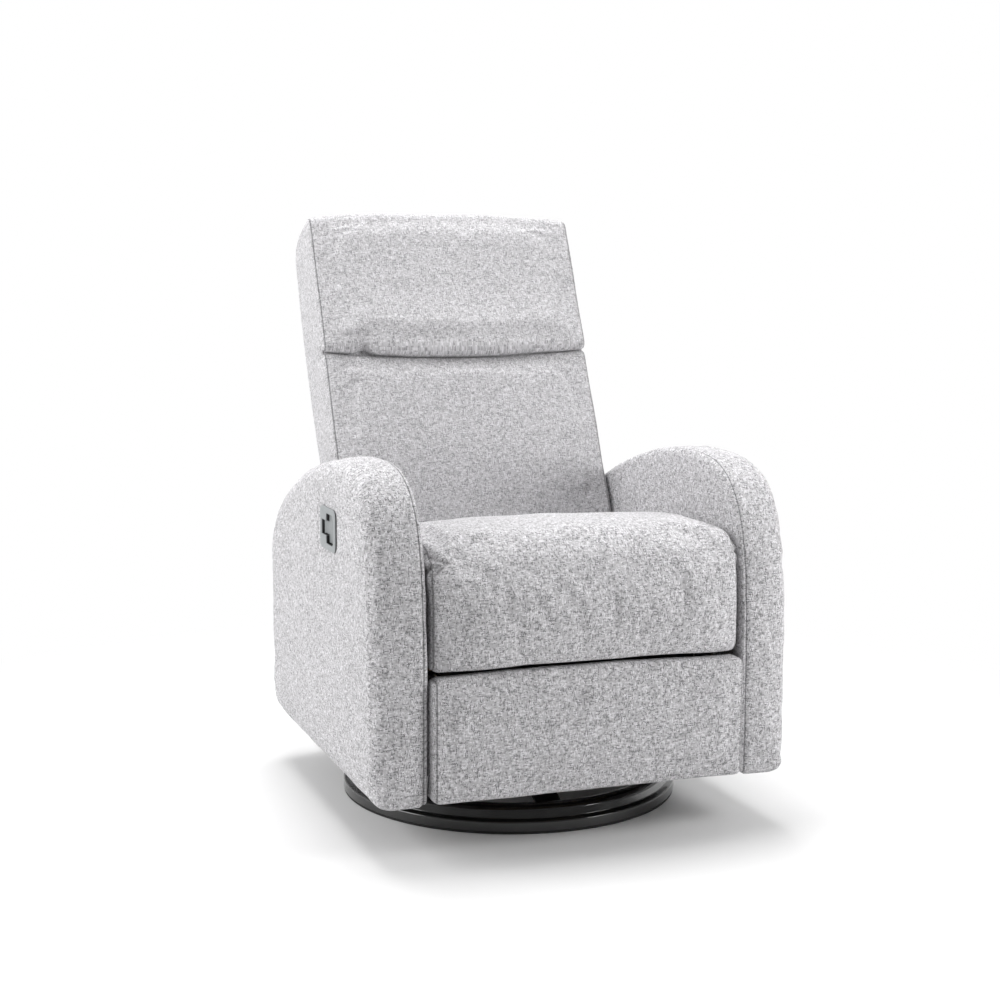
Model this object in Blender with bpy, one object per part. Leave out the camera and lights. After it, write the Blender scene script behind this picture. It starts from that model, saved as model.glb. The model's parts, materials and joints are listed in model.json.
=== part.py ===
"""Glider nursery chair: a recliner on a swivel base that glides front to back.

Metres, +Z up, the sitter faces -Y and the sitter's left is +X. The origin is on the floor under
the middle of the chair's box. Every moving group hangs on an empty that stands on its joint's axis.
"""

import math

import bmesh
import bpy
from mathutils import Matrix, Vector

# Fits
FIT = 0.0003  # between faces that touch
PIN_FIT = 0.0003  # round a pin in its hole
RUN = 0.001  # sideways, between steel parts that turn past each other
STACK = 0.003  # sideways, from one layer of footrest links to the next

# Overall
WIDTH = 0.730  # over the outsides of the arms
SEAT_DEPTH = 0.565  # front of the seat cushion to the hinge of the back
BACK_LENGTH = 0.700  # hinge of the back to its top, along the back
BACK_TILT = math.radians(25)  # the back from upright, at rest

# Base
RING_RADIUS = 0.302
RING_WIDTH = 0.044
RING_HEIGHT = 0.040
RING_WALL = 0.0025
RING_STEPS = 48
RING_FLANGE = 0.010  # the low outer flange, past the raised rim
RING_CORNER = 0.012
RIM_SLOPE = 0.014  # the raised rim's outer corner, in from the flange
GUARD_HEIGHT = 0.005
SPIDER_WIDTH = 0.045
SPIDER_THICKNESS = 0.006
SPIDER_FOOT = 0.035  # level end of each arm, inside the ring
HUB_HEIGHT = 0.066  # top of the spider, where the bearing sits
HUB_MARGIN = 0.020  # the level hub past the bearing plates
PLATE_HALF = 0.085  # the two square bearing plates
PLATE_THICKNESS = 0.004
PLATE_CORNER = 0.012
BEARING_RADIUS = 0.068
BEARING_WIDTH = 0.016
BEARING_HEIGHT = 0.013
KING_BOLT_RADIUS = 0.008
BOLT_HEAD_HEIGHT = 0.008
BOLT_END = 0.012  # thread past the nut, and shank below the spider
SWIVEL_SETBACK = 0.410  # front of the seat cushion to the swivel's axis

# Glide frame
BAR_SIZE = 0.025  # square tube across the swivel plate
BAR_SPREAD = 0.060  # swivel axis to each of those tubes
TUBE_WALL = 0.002
GLIDE_SPREAD = 0.120  # swivel axis to the front and rear hanging links
GLIDE_LINK_LENGTH = 0.120
GLIDE_LINK_WIDTH = 0.022
GLIDE_PIN_HEIGHT = 0.115  # lower pins of the hanging links
GLIDE_SHEET = 0.004
HEAD_WIDTH = 0.030  # each of the side plate's two heads
SIDE_SLOPE = 0.010
NOTCH_DEPTH = 0.055  # between those heads
SIDE_LIFT = 0.004  # the side plate's lower edge above the tubes'
GLIDE_PIN_RADIUS = 0.005
LINK_SHEET = 0.003

# Carriage
CROSSBAR_SPREAD = 0.170  # swivel axis to the carriage's cross tubes
CROSSBAR_BOTTOM = 0.085
CROSSBAR_HEIGHT = 0.015
RAIL_WIDTH = 0.020
RAIL_HEIGHT = 0.030
RAIL_LENGTH = 0.375
RAIL_GAP = 0.0255  # from the carriage's rail to the slide rail beside it
SLIDE_RAIL_WIDTH = 0.015
SLIDE_RAIL_HEIGHT = 0.040
SLIDE_CLEARANCE = 0.0005

# Arms
ARM_THICKNESS = 0.0913
ARM_LENGTH = 0.733
ARM_BOTTOM = 0.088
ARM_TOP = 0.628
ARM_SETBACK = 0.025  # behind the front of the seat cushion
ARM_ROUND = 0.016
ARM_CREST = 0.215  # front of the arm to its highest point
ARM_PANEL_THICKNESS = 0.016
ARM_PANEL_INSET = 0.050
ARM_PANEL_LIFT = 0.032  # the wooden panel's lower edge above the arm's
POCKET_FIT = 0.0005
CABLE_SPACE = 0.01065  # from the handle's cup to the wooden panel
CABLE_ROOM = 0.013

# Handle
HANDLE_SETBACK = 0.270  # front of the arm to the middle of the handle
HANDLE_HEIGHT = 0.505
BEZEL_LENGTH = 0.100
BEZEL_HEIGHT = 0.072
BEZEL_LIP = 0.0025
BEZEL_MARGIN = 0.008  # the lip past the cup behind it
CUP_DEPTH = 0.027
CUP_WALL = 0.003
CUP_CORNER = 0.008
GRIP_HEIGHT = 0.048
GRIP_LENGTH = 0.034
TAB_HEIGHT = 0.022
TAB_LENGTH = 0.030
PADDLE_THICKNESS = 0.004
PADDLE_GAP = 0.0015
PADDLE_SINK = 0.003
BARREL_RADIUS = 0.003
CABLE_RADIUS = 0.0025
CABLE_HOLE = 0.0045  # radius of its hole in the arm
CABLE_LOW = 0.1095

# Seat
SEAT_SIDE_GAP = 0.003
SEAM_HEIGHT = 0.3055  # underside of the seat, over the footrest
SEAT_CROWN = 0.500
SEAT_REAR_TOP = 0.476
SEAT_LIP = 0.0655  # the cushion's front lip, front to back
SEAT_REAR_RELIEF = 0.070  # the cushion's lower rear edge in front of the back's hinge
FRAME_RAIL = 0.022
FRAME_HEIGHT = 0.030
FRAME_SIDE_INSET = 0.0085
SPRING_WIRE = 0.0019
SPRING_COUNT = 4
SPRING_LOOPS = 8
DECK_THICKNESS = 0.0025

# Seat mechanism and footrest
MECHANISM_INSET = 0.0137  # from the inside of the arm to the side plate
MECHANISM_SHEET = 0.004
MECHANISM_BOTTOM = 0.120
HINGE_HEIGHT = 0.400  # the back's hinge
HINGE_BOSS = 0.018
HINGE_PIN_RADIUS = 0.006
FOOT_PIVOT_SETBACK = 0.174
FOOT_PIVOT_DROP = 0.0335  # below the seam
FOOT_CROSS = 0.085  # from a link's end to its crossing
FOOT_TAIL = 0.055
FOOT_REACH = 0.120
FOOT_TIP = 0.050
FOOT_LINK_WIDTH = 0.022
FOOT_PIN_RADIUS = 0.004
PIN_END = 0.001  # a pin's end past the sheet it goes through
FOOT_A_ANGLE = math.radians(-94)  # the first link, up from straight forward, closed
FOOT_B_ANGLE = math.radians(62)  # the second link
TORQUE_TUBE_RADIUS = 0.010
FOOTREST_SETBACK = 0.010
FOOTREST_BOTTOM = 0.098
FOOTREST_TOP_GAP = 0.0055  # below the seat
FOOTREST_THICKNESS = 0.050
BOARD_THICKNESS = 0.012
BOARD_INSET = 0.012
BRACKET_DROP = 0.090  # the footrest bracket below its pin
BRACKET_FOOT = 0.012
BRACKET_FLANGE = 0.024

# Back, in its own frame: height along the back from the hinge, depth to the rear of the hinge
BACK_SIDE_GAP = 0.0037  # to the arms
BACK_FRONT = -0.031
CUSHION_REAR = 0.0200
BACK_START = 0.030
CREASE = 0.408
CREASE_GAP = 0.004
POST_WIDTH = 0.035
FRAME_DEPTH = 0.030
POST_BELOW = 0.020
FRAME_TOP_MARGIN = 0.050
COVER_WALL = 0.014
COVER_TOP_WALL = 0.038
WEB_THICKNESS = 0.0015
WEB_OVERLAP = 0.010  # the webbing's ends on the frame's posts
BRACKET_RUN = 0.0015
COVER_DEPTH = 0.114  # deepest point of the cover behind the hinge
COVER_LOW_DEPTH = 0.070
COVER_CROWN_DEPTH = 0.0955  # where the cover turns over to the top
REAR_PANEL_THICKNESS = 0.016
REAR_PANEL_TOP = 0.400
REAR_PANEL_INSET = 0.001
REAR_LEDGE = 0.062  # how far the panel's top turns in towards the back
LEDGE_THICKNESS = 0.012

# Colours are linear RGB, with roughness and metallic value
MATERIALS = {
    "fabric": ((0.55, 0.54, 0.56), 0.95, 0.0),
    "fabric_light": ((0.62, 0.61, 0.63), 0.95, 0.0),
    "black_steel": ((0.012, 0.012, 0.014), 0.22, 1.0),
    "zinc_steel": ((0.45, 0.46, 0.47), 0.35, 1.0),
    "rubber": ((0.02, 0.02, 0.02), 0.8, 0.0),
    "plywood": ((0.52, 0.36, 0.20), 0.7, 0.0),
    "grey_plastic": ((0.30, 0.32, 0.33), 0.45, 0.0),
    "webbing": ((0.05, 0.05, 0.055), 0.9, 0.0),
}

# What follows from the sizes
ARM_INNER = WIDTH / 2 - ARM_THICKNESS
SEAT_HALF = ARM_INNER - SEAT_SIDE_GAP
BACK_HALF = ARM_INNER - BACK_SIDE_GAP
PLATE_OUT = ARM_INNER - MECHANISM_INSET
PLATE_IN = PLATE_OUT - MECHANISM_SHEET
LAYER_A = PLATE_IN - STACK - LINK_SHEET  # inner face of the first layer of footrest links
LAYER_B = LAYER_A - STACK - LINK_SHEET
LAYER_C = LAYER_B - STACK - LINK_SHEET
SLIDE_OUT = PLATE_IN - SLIDE_CLEARANCE
SLIDE_IN = SLIDE_OUT - SLIDE_RAIL_WIDTH
RAIL_OUT = SLIDE_IN - RAIL_GAP
RAIL_IN = RAIL_OUT - RAIL_WIDTH
HANGER_OUT = RAIL_IN - STACK
HANGER_IN = HANGER_OUT - LINK_SHEET
SIDE_OUT = HANGER_IN - RUN
SIDE_IN = SIDE_OUT - GLIDE_SHEET

BACK_CROWN = BACK_LENGTH - 0.050  # where the rear of the cover turns over to the top
REAR_REACH = BACK_CROWN * math.sin(BACK_TILT) + COVER_CROWN_DEPTH * math.cos(BACK_TILT) + 0.004
DEPTH = SEAT_DEPTH + REAR_REACH
FRONT = -DEPTH / 2
HINGE_Y = FRONT + SEAT_DEPTH
ARM_FRONT = FRONT + ARM_SETBACK
ARM_REAR = ARM_FRONT + ARM_LENGTH
SWIVEL_Y = FRONT + SWIVEL_SETBACK
BEARING_BOTTOM = HUB_HEIGHT + PLATE_THICKNESS + 2 * FIT
SWIVEL_PLATE_BOTTOM = BEARING_BOTTOM + BEARING_HEIGHT + FIT
BAR_BOTTOM = SWIVEL_PLATE_BOTTOM + PLATE_THICKNESS + FIT
GLIDE_TOP_PIN = GLIDE_PIN_HEIGHT + GLIDE_LINK_LENGTH
RAIL_BOTTOM = CROSSBAR_BOTTOM + CROSSBAR_HEIGHT + FIT
HANDLE_Y = ARM_FRONT + HANDLE_SETBACK
PADDLE_Y = HANDLE_Y + BEZEL_LENGTH / 2 - BEZEL_MARGIN - CUP_WALL - PADDLE_GAP - BARREL_RADIUS
PADDLE_X = -(WIDTH / 2 - PADDLE_SINK - PADDLE_THICKNESS / 2)
FINGER_GAP = BEZEL_LENGTH - 2 * (BEZEL_MARGIN + CUP_WALL) - PADDLE_GAP - TAB_LENGTH - GRIP_LENGTH
SEAT_FLOOR = SEAM_HEIGHT + FRAME_HEIGHT + 2 * SPRING_WIRE + DECK_THICKNESS + 3 * FIT
FRAME_FRONT = FRONT + SEAT_LIP + FIT
FRAME_REAR = HINGE_Y - SEAT_REAR_RELIEF - 0.010
FRAME_HALF = SEAT_HALF - FRAME_SIDE_INSET
FOOT_PIVOT = Vector((0, FRONT + FOOT_PIVOT_SETBACK, SEAM_HEIGHT - FOOT_PIVOT_DROP))
FOOTREST_FRONT = FRONT + FOOTREST_SETBACK
FOOTREST_REAR = FOOTREST_FRONT + FOOTREST_THICKNESS
FOOTREST_TOP = SEAM_HEIGHT - FOOTREST_TOP_GAP
BRACKET_OUT = PLATE_IN - BRACKET_RUN
POST_OUT = BRACKET_OUT - MECHANISM_SHEET - FIT
FRAME_FRONT_DEPTH = CUSHION_REAR + WEB_THICKNESS + 3 * FIT
FRAME_REAR_DEPTH = FRAME_FRONT_DEPTH + FRAME_DEPTH


def clear_scene():
    for obj in list(bpy.data.objects):
        bpy.data.objects.remove(obj, do_unlink=True)


def make_material(name):
    colour, roughness, metallic = MATERIALS[name]
    material = bpy.data.materials.new(name)
    material.use_nodes = True
    shader = material.node_tree.nodes["Principled BSDF"]
    shader.inputs["Base Color"].default_value = (*colour, 1.0)
    shader.inputs["Roughness"].default_value = roughness
    shader.inputs["Metallic"].default_value = metallic
    return material


class Group:
    """Pieces that move together, on an empty that stands on their joint's axis."""

    def __init__(self, name, at=(0, 0, 0), parent=None, tilt=0.0):
        self.at = Vector(at)
        self.local = tilt != 0.0
        self.empty = bpy.data.objects.new(name, None)
        bpy.context.scene.collection.objects.link(self.empty)
        self.empty.empty_display_size = 0.03
        self.empty.rotation_euler = (-tilt, 0, 0)
        self.empty.parent = parent.empty if parent else None
        self.empty.location = self.at - (parent.at if parent else Vector((0, 0, 0)))

    def add(self, name, mesh, material=None):
        """An object of this group from a bmesh in world coordinates, or in the tilted empty's own."""
        if not self.local:
            bmesh.ops.translate(mesh, verts=mesh.verts, vec=-self.at)
        bmesh.ops.recalc_face_normals(mesh, faces=mesh.faces)
        data = bpy.data.meshes.new(name)
        mesh.to_mesh(data)
        mesh.free()
        obj = bpy.data.objects.new(name, data)
        bpy.context.scene.collection.objects.link(obj)
        obj.parent = self.empty
        if material:
            data.materials.append(material)
            data.shade_smooth()
            data.set_sharp_from_angle(angle=math.radians(35))
        return obj


def combine(obj, group, mesh, operation):
    """Cuts the shape out of the object, or welds it on. The shape stays in the file as a hidden helper."""
    helper = group.add(f"{obj.name}_{operation.lower()}_{len(obj.modifiers)}", mesh)
    helper.hide_render = True
    helper.display_type = "WIRE"
    modifier = obj.modifiers.new(operation.title(), "BOOLEAN")
    modifier.operation = operation
    modifier.object = helper
    modifier.solver = "EXACT"


def cut(obj, group, mesh):
    combine(obj, group, mesh, "DIFFERENCE")


def weld(obj, group, mesh):
    combine(obj, group, mesh, "UNION")


# Outlines are lists of (a, b): (y, z) where a plate is extruded along X, (x, z) along Y, (x, y) along Z.


def arc(centre, radius, start, end, steps):
    """Points from one angle to another, in degrees."""
    turns = [math.radians(start + (end - start) * i / steps) for i in range(steps + 1)]
    return [(centre[0] + radius * math.cos(t), centre[1] + radius * math.sin(t)) for t in turns]


def circle(centre, radius, steps=16):
    return arc(centre, radius, 0, 360, steps)[:-1]


def bezier(start, first, second, end, steps):
    """Points of a cubic curve, without its last one."""
    points = []
    for i in range(steps):
        t = i / steps
        weights = ((1 - t) ** 3, 3 * t * (1 - t) ** 2, 3 * t * t * (1 - t), t**3)
        corners = (start, first, second, end)
        points.append(tuple(sum(w * p[k] for w, p in zip(weights, corners)) for k in (0, 1)))
    return points


def rectangle(low, high, radius=0.0, steps=3):
    if radius == 0.0:
        return [low, (high[0], low[1]), high, (low[0], high[1])]
    corners = (
        ((high[0] - radius, low[1] + radius), -90),
        ((high[0] - radius, high[1] - radius), 0),
        ((low[0] + radius, high[1] - radius), 90),
        ((low[0] + radius, low[1] + radius), 180),
    )
    return [p for centre, turn in corners for p in arc(centre, radius, turn, turn + 90, steps)]


def bar_outline(start, end, width, steps=6):
    """A flat bar with round ends about its two pins."""
    turn = math.degrees(math.atan2(end[1] - start[1], end[0] - start[0]))
    near = arc(start, width / 2, turn + 90, turn + 270, steps)
    return near + arc(end, width / 2, turn - 90, turn + 90, steps)


AXES = {"X": (1, 2, 0), "Y": (0, 2, 1), "Z": (0, 1, 2)}


def plate(outline, low, high, along="X", holes=()):
    """The outline with its holes, extruded from low to high along an axis."""
    first, second, third = AXES[along]
    mesh = bmesh.new()
    for loop in (outline, *holes):
        verts = []
        for a, b in loop:
            place = [0.0, 0.0, 0.0]
            place[first], place[second], place[third] = a, b, low
            verts.append(mesh.verts.new(place))
        for i, vert in enumerate(verts):
            mesh.edges.new((vert, verts[(i + 1) % len(verts)]))
    if holes:
        bmesh.ops.triangle_fill(mesh, use_beauty=True, use_dissolve=False, edges=mesh.edges)
    else:
        bmesh.ops.contextual_create(mesh, geom=mesh.edges[:])
    made = bmesh.ops.extrude_face_region(mesh, geom=mesh.faces[:])
    step = [0.0, 0.0, 0.0]
    step[third] = high - low
    moved = [item for item in made["geom"] if isinstance(item, bmesh.types.BMVert)]
    bmesh.ops.translate(mesh, verts=moved, vec=step)
    bmesh.ops.recalc_face_normals(mesh, faces=mesh.faces)
    return mesh


def block(low, high, round_by=0.0, segments=2):
    mesh = bmesh.new()
    bmesh.ops.create_cube(mesh, size=1.0)
    low, high = Vector(low), Vector(high)
    size = high - low
    bmesh.ops.scale(mesh, vec=size, verts=mesh.verts)
    bmesh.ops.translate(mesh, vec=(low + high) / 2, verts=mesh.verts)
    if round_by:
        bmesh.ops.bevel(
            mesh, geom=mesh.edges[:], offset=round_by, segments=segments, profile=0.5, affect="EDGES"
        )
    return mesh


def hollow_bar(low, high, start, end, along):
    """A rectangular tube between two opposite corners of its section."""
    bore = rectangle(
        (low[0] + TUBE_WALL, low[1] + TUBE_WALL), (high[0] - TUBE_WALL, high[1] - TUBE_WALL)
    )
    return plate(rectangle(low, high), start, end, along, [bore])


def soften(mesh, radius, along=0, segments=2):
    """Rounds the rims of an extruded shape: the edges that lie in its two end faces."""
    ends = (min(v.co[along] for v in mesh.verts), max(v.co[along] for v in mesh.verts))
    rims = [
        edge
        for edge in mesh.edges
        if len(edge.link_faces) == 2
        and edge.calc_face_angle(0.0) > math.radians(60)
        and any(all(abs(v.co[along] - end) < 1e-6 for v in edge.verts) for end in ends)
    ]
    bmesh.ops.bevel(mesh, geom=rims, offset=radius, segments=segments, profile=0.5, affect="EDGES")
    return mesh


def turned(profile, centre, steps):
    """A profile of (radius, height) points turned about a vertical axis."""
    mesh = bmesh.new()
    rings = []
    for i in range(steps):
        turn = 2 * math.pi * i / steps
        rings.append(
            [
                mesh.verts.new((centre[0] + r * math.cos(turn), centre[1] + r * math.sin(turn), z))
                for r, z in profile
            ]
        )
    for i, ring in enumerate(rings):
        following = rings[(i + 1) % steps]
        for k in range(len(profile)):
            n = (k + 1) % len(profile)
            mesh.faces.new((ring[k], following[k], following[n], ring[n]))
    bmesh.ops.recalc_face_normals(mesh, faces=mesh.faces)
    return mesh


def sweep(points, radius, sides):
    """A round wire along points, with flat ends. Its rings turn with the path, which stays in one plane."""
    points = [Vector(p) for p in points]
    plane = (points[1] - points[0]).cross(points[-1] - points[len(points) // 2 - 1])
    plane = plane.normalized() if plane.length > 1e-9 else Vector((0, 0, 1))
    mesh = bmesh.new()
    rings = []
    for i, point in enumerate(points):
        before, after = points[max(i - 1, 0)], points[min(i + 1, len(points) - 1)]
        side = (after - before).normalized().cross(plane)
        turns = [2 * math.pi * k / sides for k in range(sides)]
        rings.append(
            [mesh.verts.new(point + radius * (side * math.cos(t) + plane * math.sin(t))) for t in turns]
        )
    for near, far in zip(rings, rings[1:]):
        for k in range(sides):
            n = (k + 1) % sides
            mesh.faces.new((near[k], near[n], far[n], far[k]))
    mesh.faces.new(rings[0])
    mesh.faces.new(rings[-1])
    return mesh


def rod(start, end, radius, sides=16):
    """A cylinder along X, Y or Z between two points."""
    start, end = Vector(start), Vector(end)
    along = max(range(3), key=lambda k: abs(end[k] - start[k]))
    others = [k for k in AXES["XYZ"[along]][:2]]
    outline = circle((start[others[0]], start[others[1]]), radius, sides)
    return plate(outline, min(start[along], end[along]), max(start[along], end[along]), "XYZ"[along])


def span(side, inner, outer):
    """Low and high X on one side of the chair, from distances to the middle."""
    return (inner, outer) if side > 0 else (-outer, -inner)


SIDES = ((1, "left"), (-1, "right"))


def bearing_plate(bottom):
    low = (-PLATE_HALF, SWIVEL_Y - PLATE_HALF)
    high = (PLATE_HALF, SWIVEL_Y + PLATE_HALF)
    bolt_hole = circle((0, SWIVEL_Y), KING_BOLT_RADIUS + PIN_FIT)
    return plate(
        rectangle(low, high, PLATE_CORNER), bottom, bottom + PLATE_THICKNESS, "Z", [bolt_hole]
    )


def make_base(base, mats):
    inner = RING_RADIUS - RING_WIDTH
    top = GUARD_HEIGHT + FIT + RING_HEIGHT
    low = GUARD_HEIGHT + FIT
    step_r = RING_RADIUS - RING_FLANGE
    shoulder = low + 0.45 * RING_HEIGHT
    near = (inner + RING_CORNER, top - RING_CORNER)
    far = (step_r - RIM_SLOPE, top - RING_CORNER)
    outside = [(RING_RADIUS, low), (RING_RADIUS, shoulder - 0.006), (RING_RADIUS - 0.003, shoulder)]
    outside += [(step_r, shoulder + 0.003)] + arc(far, RING_CORNER, 10, 90, 3)
    outside += arc(near, RING_CORNER, 100, 180, 3) + [(inner, low)]
    inside = [(inner + RING_WALL, low)]
    inside += arc(near, RING_CORNER - RING_WALL, 180, 100, 2)
    inside += arc(far, RING_CORNER - RING_WALL, 90, 10, 2)
    inside += [(step_r - RING_WALL, shoulder + 0.002), (RING_RADIUS - RING_WALL - 0.002, shoulder - 0.003)]
    inside += [(RING_RADIUS - RING_WALL, low)]
    base.add("base_ring", turned(outside + inside, (0, SWIVEL_Y), RING_STEPS), mats["black_steel"])

    guard = [(inner + 0.001, 0), (RING_RADIUS - 0.001, 0)]
    guard += [(RING_RADIUS - 0.001, GUARD_HEIGHT), (inner + 0.001, GUARD_HEIGHT)]
    base.add("floor_guard_ring", turned(guard, (0, SWIVEL_Y), RING_STEPS), mats["rubber"])

    foot = low + SPIDER_THICKNESS / 2
    half = SPIDER_WIDTH / 2
    reach = math.sqrt((inner * math.cos(math.pi / RING_STEPS) - FIT) ** 2 - half**2)
    hub, rise = HUB_HEIGHT - SPIDER_THICKNESS, PLATE_HALF + HUB_MARGIN
    lower = [(-reach, foot), (-reach + SPIDER_FOOT, foot), (-rise, hub)]
    lower += [(rise, hub), (reach - SPIDER_FOOT, foot), (reach, foot)]
    upper = [(a, b + SPIDER_THICKNESS) for a, b in reversed(lower)]
    along_x = plate(lower + upper, SWIVEL_Y - half, SWIVEL_Y + half, "Y")
    spider = base.add("base_spider", along_x, mats["black_steel"])
    along_y = plate([(a + SWIVEL_Y, b) for a, b in lower + upper], -half, half, "X")
    weld(spider, base, along_y)
    hole = rod((0, SWIVEL_Y, 0), (0, SWIVEL_Y, HUB_HEIGHT + 0.02), KING_BOLT_RADIUS + PIN_FIT)
    cut(spider, base, hole)

    base.add("bearing_lower_plate", bearing_plate(HUB_HEIGHT + FIT), mats["black_steel"])
    race = [(BEARING_RADIUS - BEARING_WIDTH, BEARING_BOTTOM), (BEARING_RADIUS, BEARING_BOTTOM)]
    race += [(BEARING_RADIUS, BEARING_BOTTOM + BEARING_HEIGHT)]
    race += [(BEARING_RADIUS - BEARING_WIDTH, BEARING_BOTTOM + BEARING_HEIGHT)]
    base.add("swivel_bearing", turned(race, (0, SWIVEL_Y), 40), mats["zinc_steel"])

    bolt_top = BAR_BOTTOM + BOLT_END
    bolt = rod((0, SWIVEL_Y, HUB_HEIGHT - BOLT_END), (0, SWIVEL_Y, bolt_top), KING_BOLT_RADIUS)
    king = base.add("king_bolt", bolt, mats["zinc_steel"])
    head_bottom = HUB_HEIGHT - SPIDER_THICKNESS - FIT
    head = circle((0, SWIVEL_Y), 2 * KING_BOLT_RADIUS, 6)
    weld(king, base, plate(head, head_bottom - BOLT_HEAD_HEIGHT, head_bottom, "Z"))
    nut_bottom = SWIVEL_PLATE_BOTTOM + PLATE_THICKNESS + 2 * FIT
    weld(king, base, plate(head, nut_bottom, nut_bottom + BOLT_HEAD_HEIGHT, "Z"))


def make_swivel(swivel, mats):
    swivel.add("swivel_plate", bearing_plate(SWIVEL_PLATE_BOTTOM), mats["black_steel"])
    for sign, where in ((-1, "front"), (1, "rear")):
        y = SWIVEL_Y + sign * BAR_SPREAD
        low, high = (y - BAR_SIZE / 2, BAR_BOTTOM), (y + BAR_SIZE / 2, BAR_BOTTOM + BAR_SIZE)
        tube = hollow_bar(low, high, -SIDE_IN + FIT, SIDE_IN - FIT, "X")
        swivel.add(f"glide_frame_tube_{where}", tube, mats["black_steel"])
        shaft_y = SWIVEL_Y + sign * GLIDE_SPREAD
        reach = HANGER_OUT + 0.0015
        shaft = rod((-reach, shaft_y, GLIDE_TOP_PIN), (reach, shaft_y, GLIDE_TOP_PIN), GLIDE_PIN_RADIUS)
        swivel.add(f"glide_shaft_{where}", shaft, mats["zinc_steel"])
    foot = BAR_SPREAD + BAR_SIZE / 2
    head = GLIDE_SPREAD + GLIDE_LINK_WIDTH / 2
    waist = foot - HEAD_WIDTH + SIDE_SLOPE
    bottom, top = BAR_BOTTOM + SIDE_LIFT, GLIDE_TOP_PIN + GLIDE_LINK_WIDTH / 2
    neck = top - NOTCH_DEPTH
    outline = [(-foot, bottom), (foot, bottom), (head, neck), (head, top)]
    outline += [(head - HEAD_WIDTH, top), (waist, neck), (-waist, neck)]
    outline += [(-head + HEAD_WIDTH, top), (-head, top), (-head, neck)]
    outline = [(a + SWIVEL_Y, b) for a, b in outline]
    holes = [
        circle((SWIVEL_Y + sign * GLIDE_SPREAD, GLIDE_TOP_PIN), GLIDE_PIN_RADIUS + PIN_FIT)
        for sign in (-1, 1)
    ]
    for side, name in SIDES:
        side_plate = plate(outline, *span(side, SIDE_IN, SIDE_OUT), "X", holes)
        swivel.add(f"glide_side_plate_{name}", side_plate, mats["black_steel"])


def make_hangers(group, y, where, mats):
    ends = (y, GLIDE_TOP_PIN), (y, GLIDE_PIN_HEIGHT)
    outline = bar_outline(*ends, GLIDE_LINK_WIDTH)
    holes = [circle(end, GLIDE_PIN_RADIUS + PIN_FIT) for end in ends]
    for side, name in SIDES:
        link = plate(outline, *span(side, HANGER_IN, HANGER_OUT), "X", holes)
        group.add(f"glide_link_{where}_{name}", link, mats["zinc_steel"])


def arm_outline():
    """Side view of an arm: flat under, upright in front, a round front top, and a slope to the rear."""
    front, rear, crest = ARM_FRONT, ARM_REAR, ARM_FRONT + ARM_CREST
    rise = ARM_TOP - ARM_BOTTOM
    shoulder = (rear - 0.130, ARM_TOP - 0.155 * rise)
    tail = (rear, ARM_BOTTOM + 0.56 * rise)
    start = (front, ARM_BOTTOM + 0.39 * rise)
    over = (crest + 0.14, ARM_TOP), (shoulder[0] - 0.10, shoulder[1] + 0.045)
    down = (shoulder[0] + 0.07, shoulder[1] - 0.033), (rear, tail[1] + 0.08)
    foot = (rear - 0.004, ARM_BOTTOM + 0.055)
    under = (rear - 0.090, ARM_BOTTOM)
    points = [(front, ARM_BOTTOM)]
    points += bezier(start, (front, start[1] + 0.26), (front + 0.06, ARM_TOP), (crest, ARM_TOP), 8)
    points += bezier((crest, ARM_TOP), *over, shoulder, 5)
    points += bezier(shoulder, *down, tail, 5)
    points += bezier(foot, (foot[0], ARM_BOTTOM + 0.020), (rear - 0.035, ARM_BOTTOM), under, 4)
    points.append(under)
    return points


def panel_outline(grow=0.0, down=0.0):
    """The wooden panel inside an arm, or the pocket round it."""
    front, rear = ARM_FRONT + ARM_PANEL_INSET, ARM_REAR - ARM_PANEL_INSET
    top = ARM_TOP - ARM_PANEL_INSET
    low = ARM_BOTTOM + ARM_PANEL_LIFT - down
    return [
        (front - grow, low),
        (front - grow, top - 0.075),
        (front + 0.080, top + grow),
        (ARM_FRONT + ARM_CREST + 0.100, top + grow),
        (rear + grow, top - 0.130),
        (rear + grow, low),
    ]


def paddle_outline(grow=0.0, extra_front=0.0):
    """The handle: a grip with a tab to its hinge. The bezel's opening is the same shape, grown."""
    rear = PADDLE_Y + BARREL_RADIUS
    neck = rear - TAB_LENGTH
    front = neck - GRIP_LENGTH - extra_front
    grip, tab = GRIP_HEIGHT / 2 + grow, TAB_HEIGHT / 2 + grow
    z = HANDLE_HEIGHT
    return [
        (front - grow, z - grip + 0.008),
        (front - grow + 0.008, z - grip),
        (neck + grow, z - grip),
        (neck + grow, z - tab),
        (rear + grow, z - tab),
        (rear + grow, z + tab),
        (neck + grow, z + tab),
        (neck + grow, z + grip),
        (front - grow + 0.008, z + grip),
        (front - grow, z + grip - 0.008),
    ]


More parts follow.
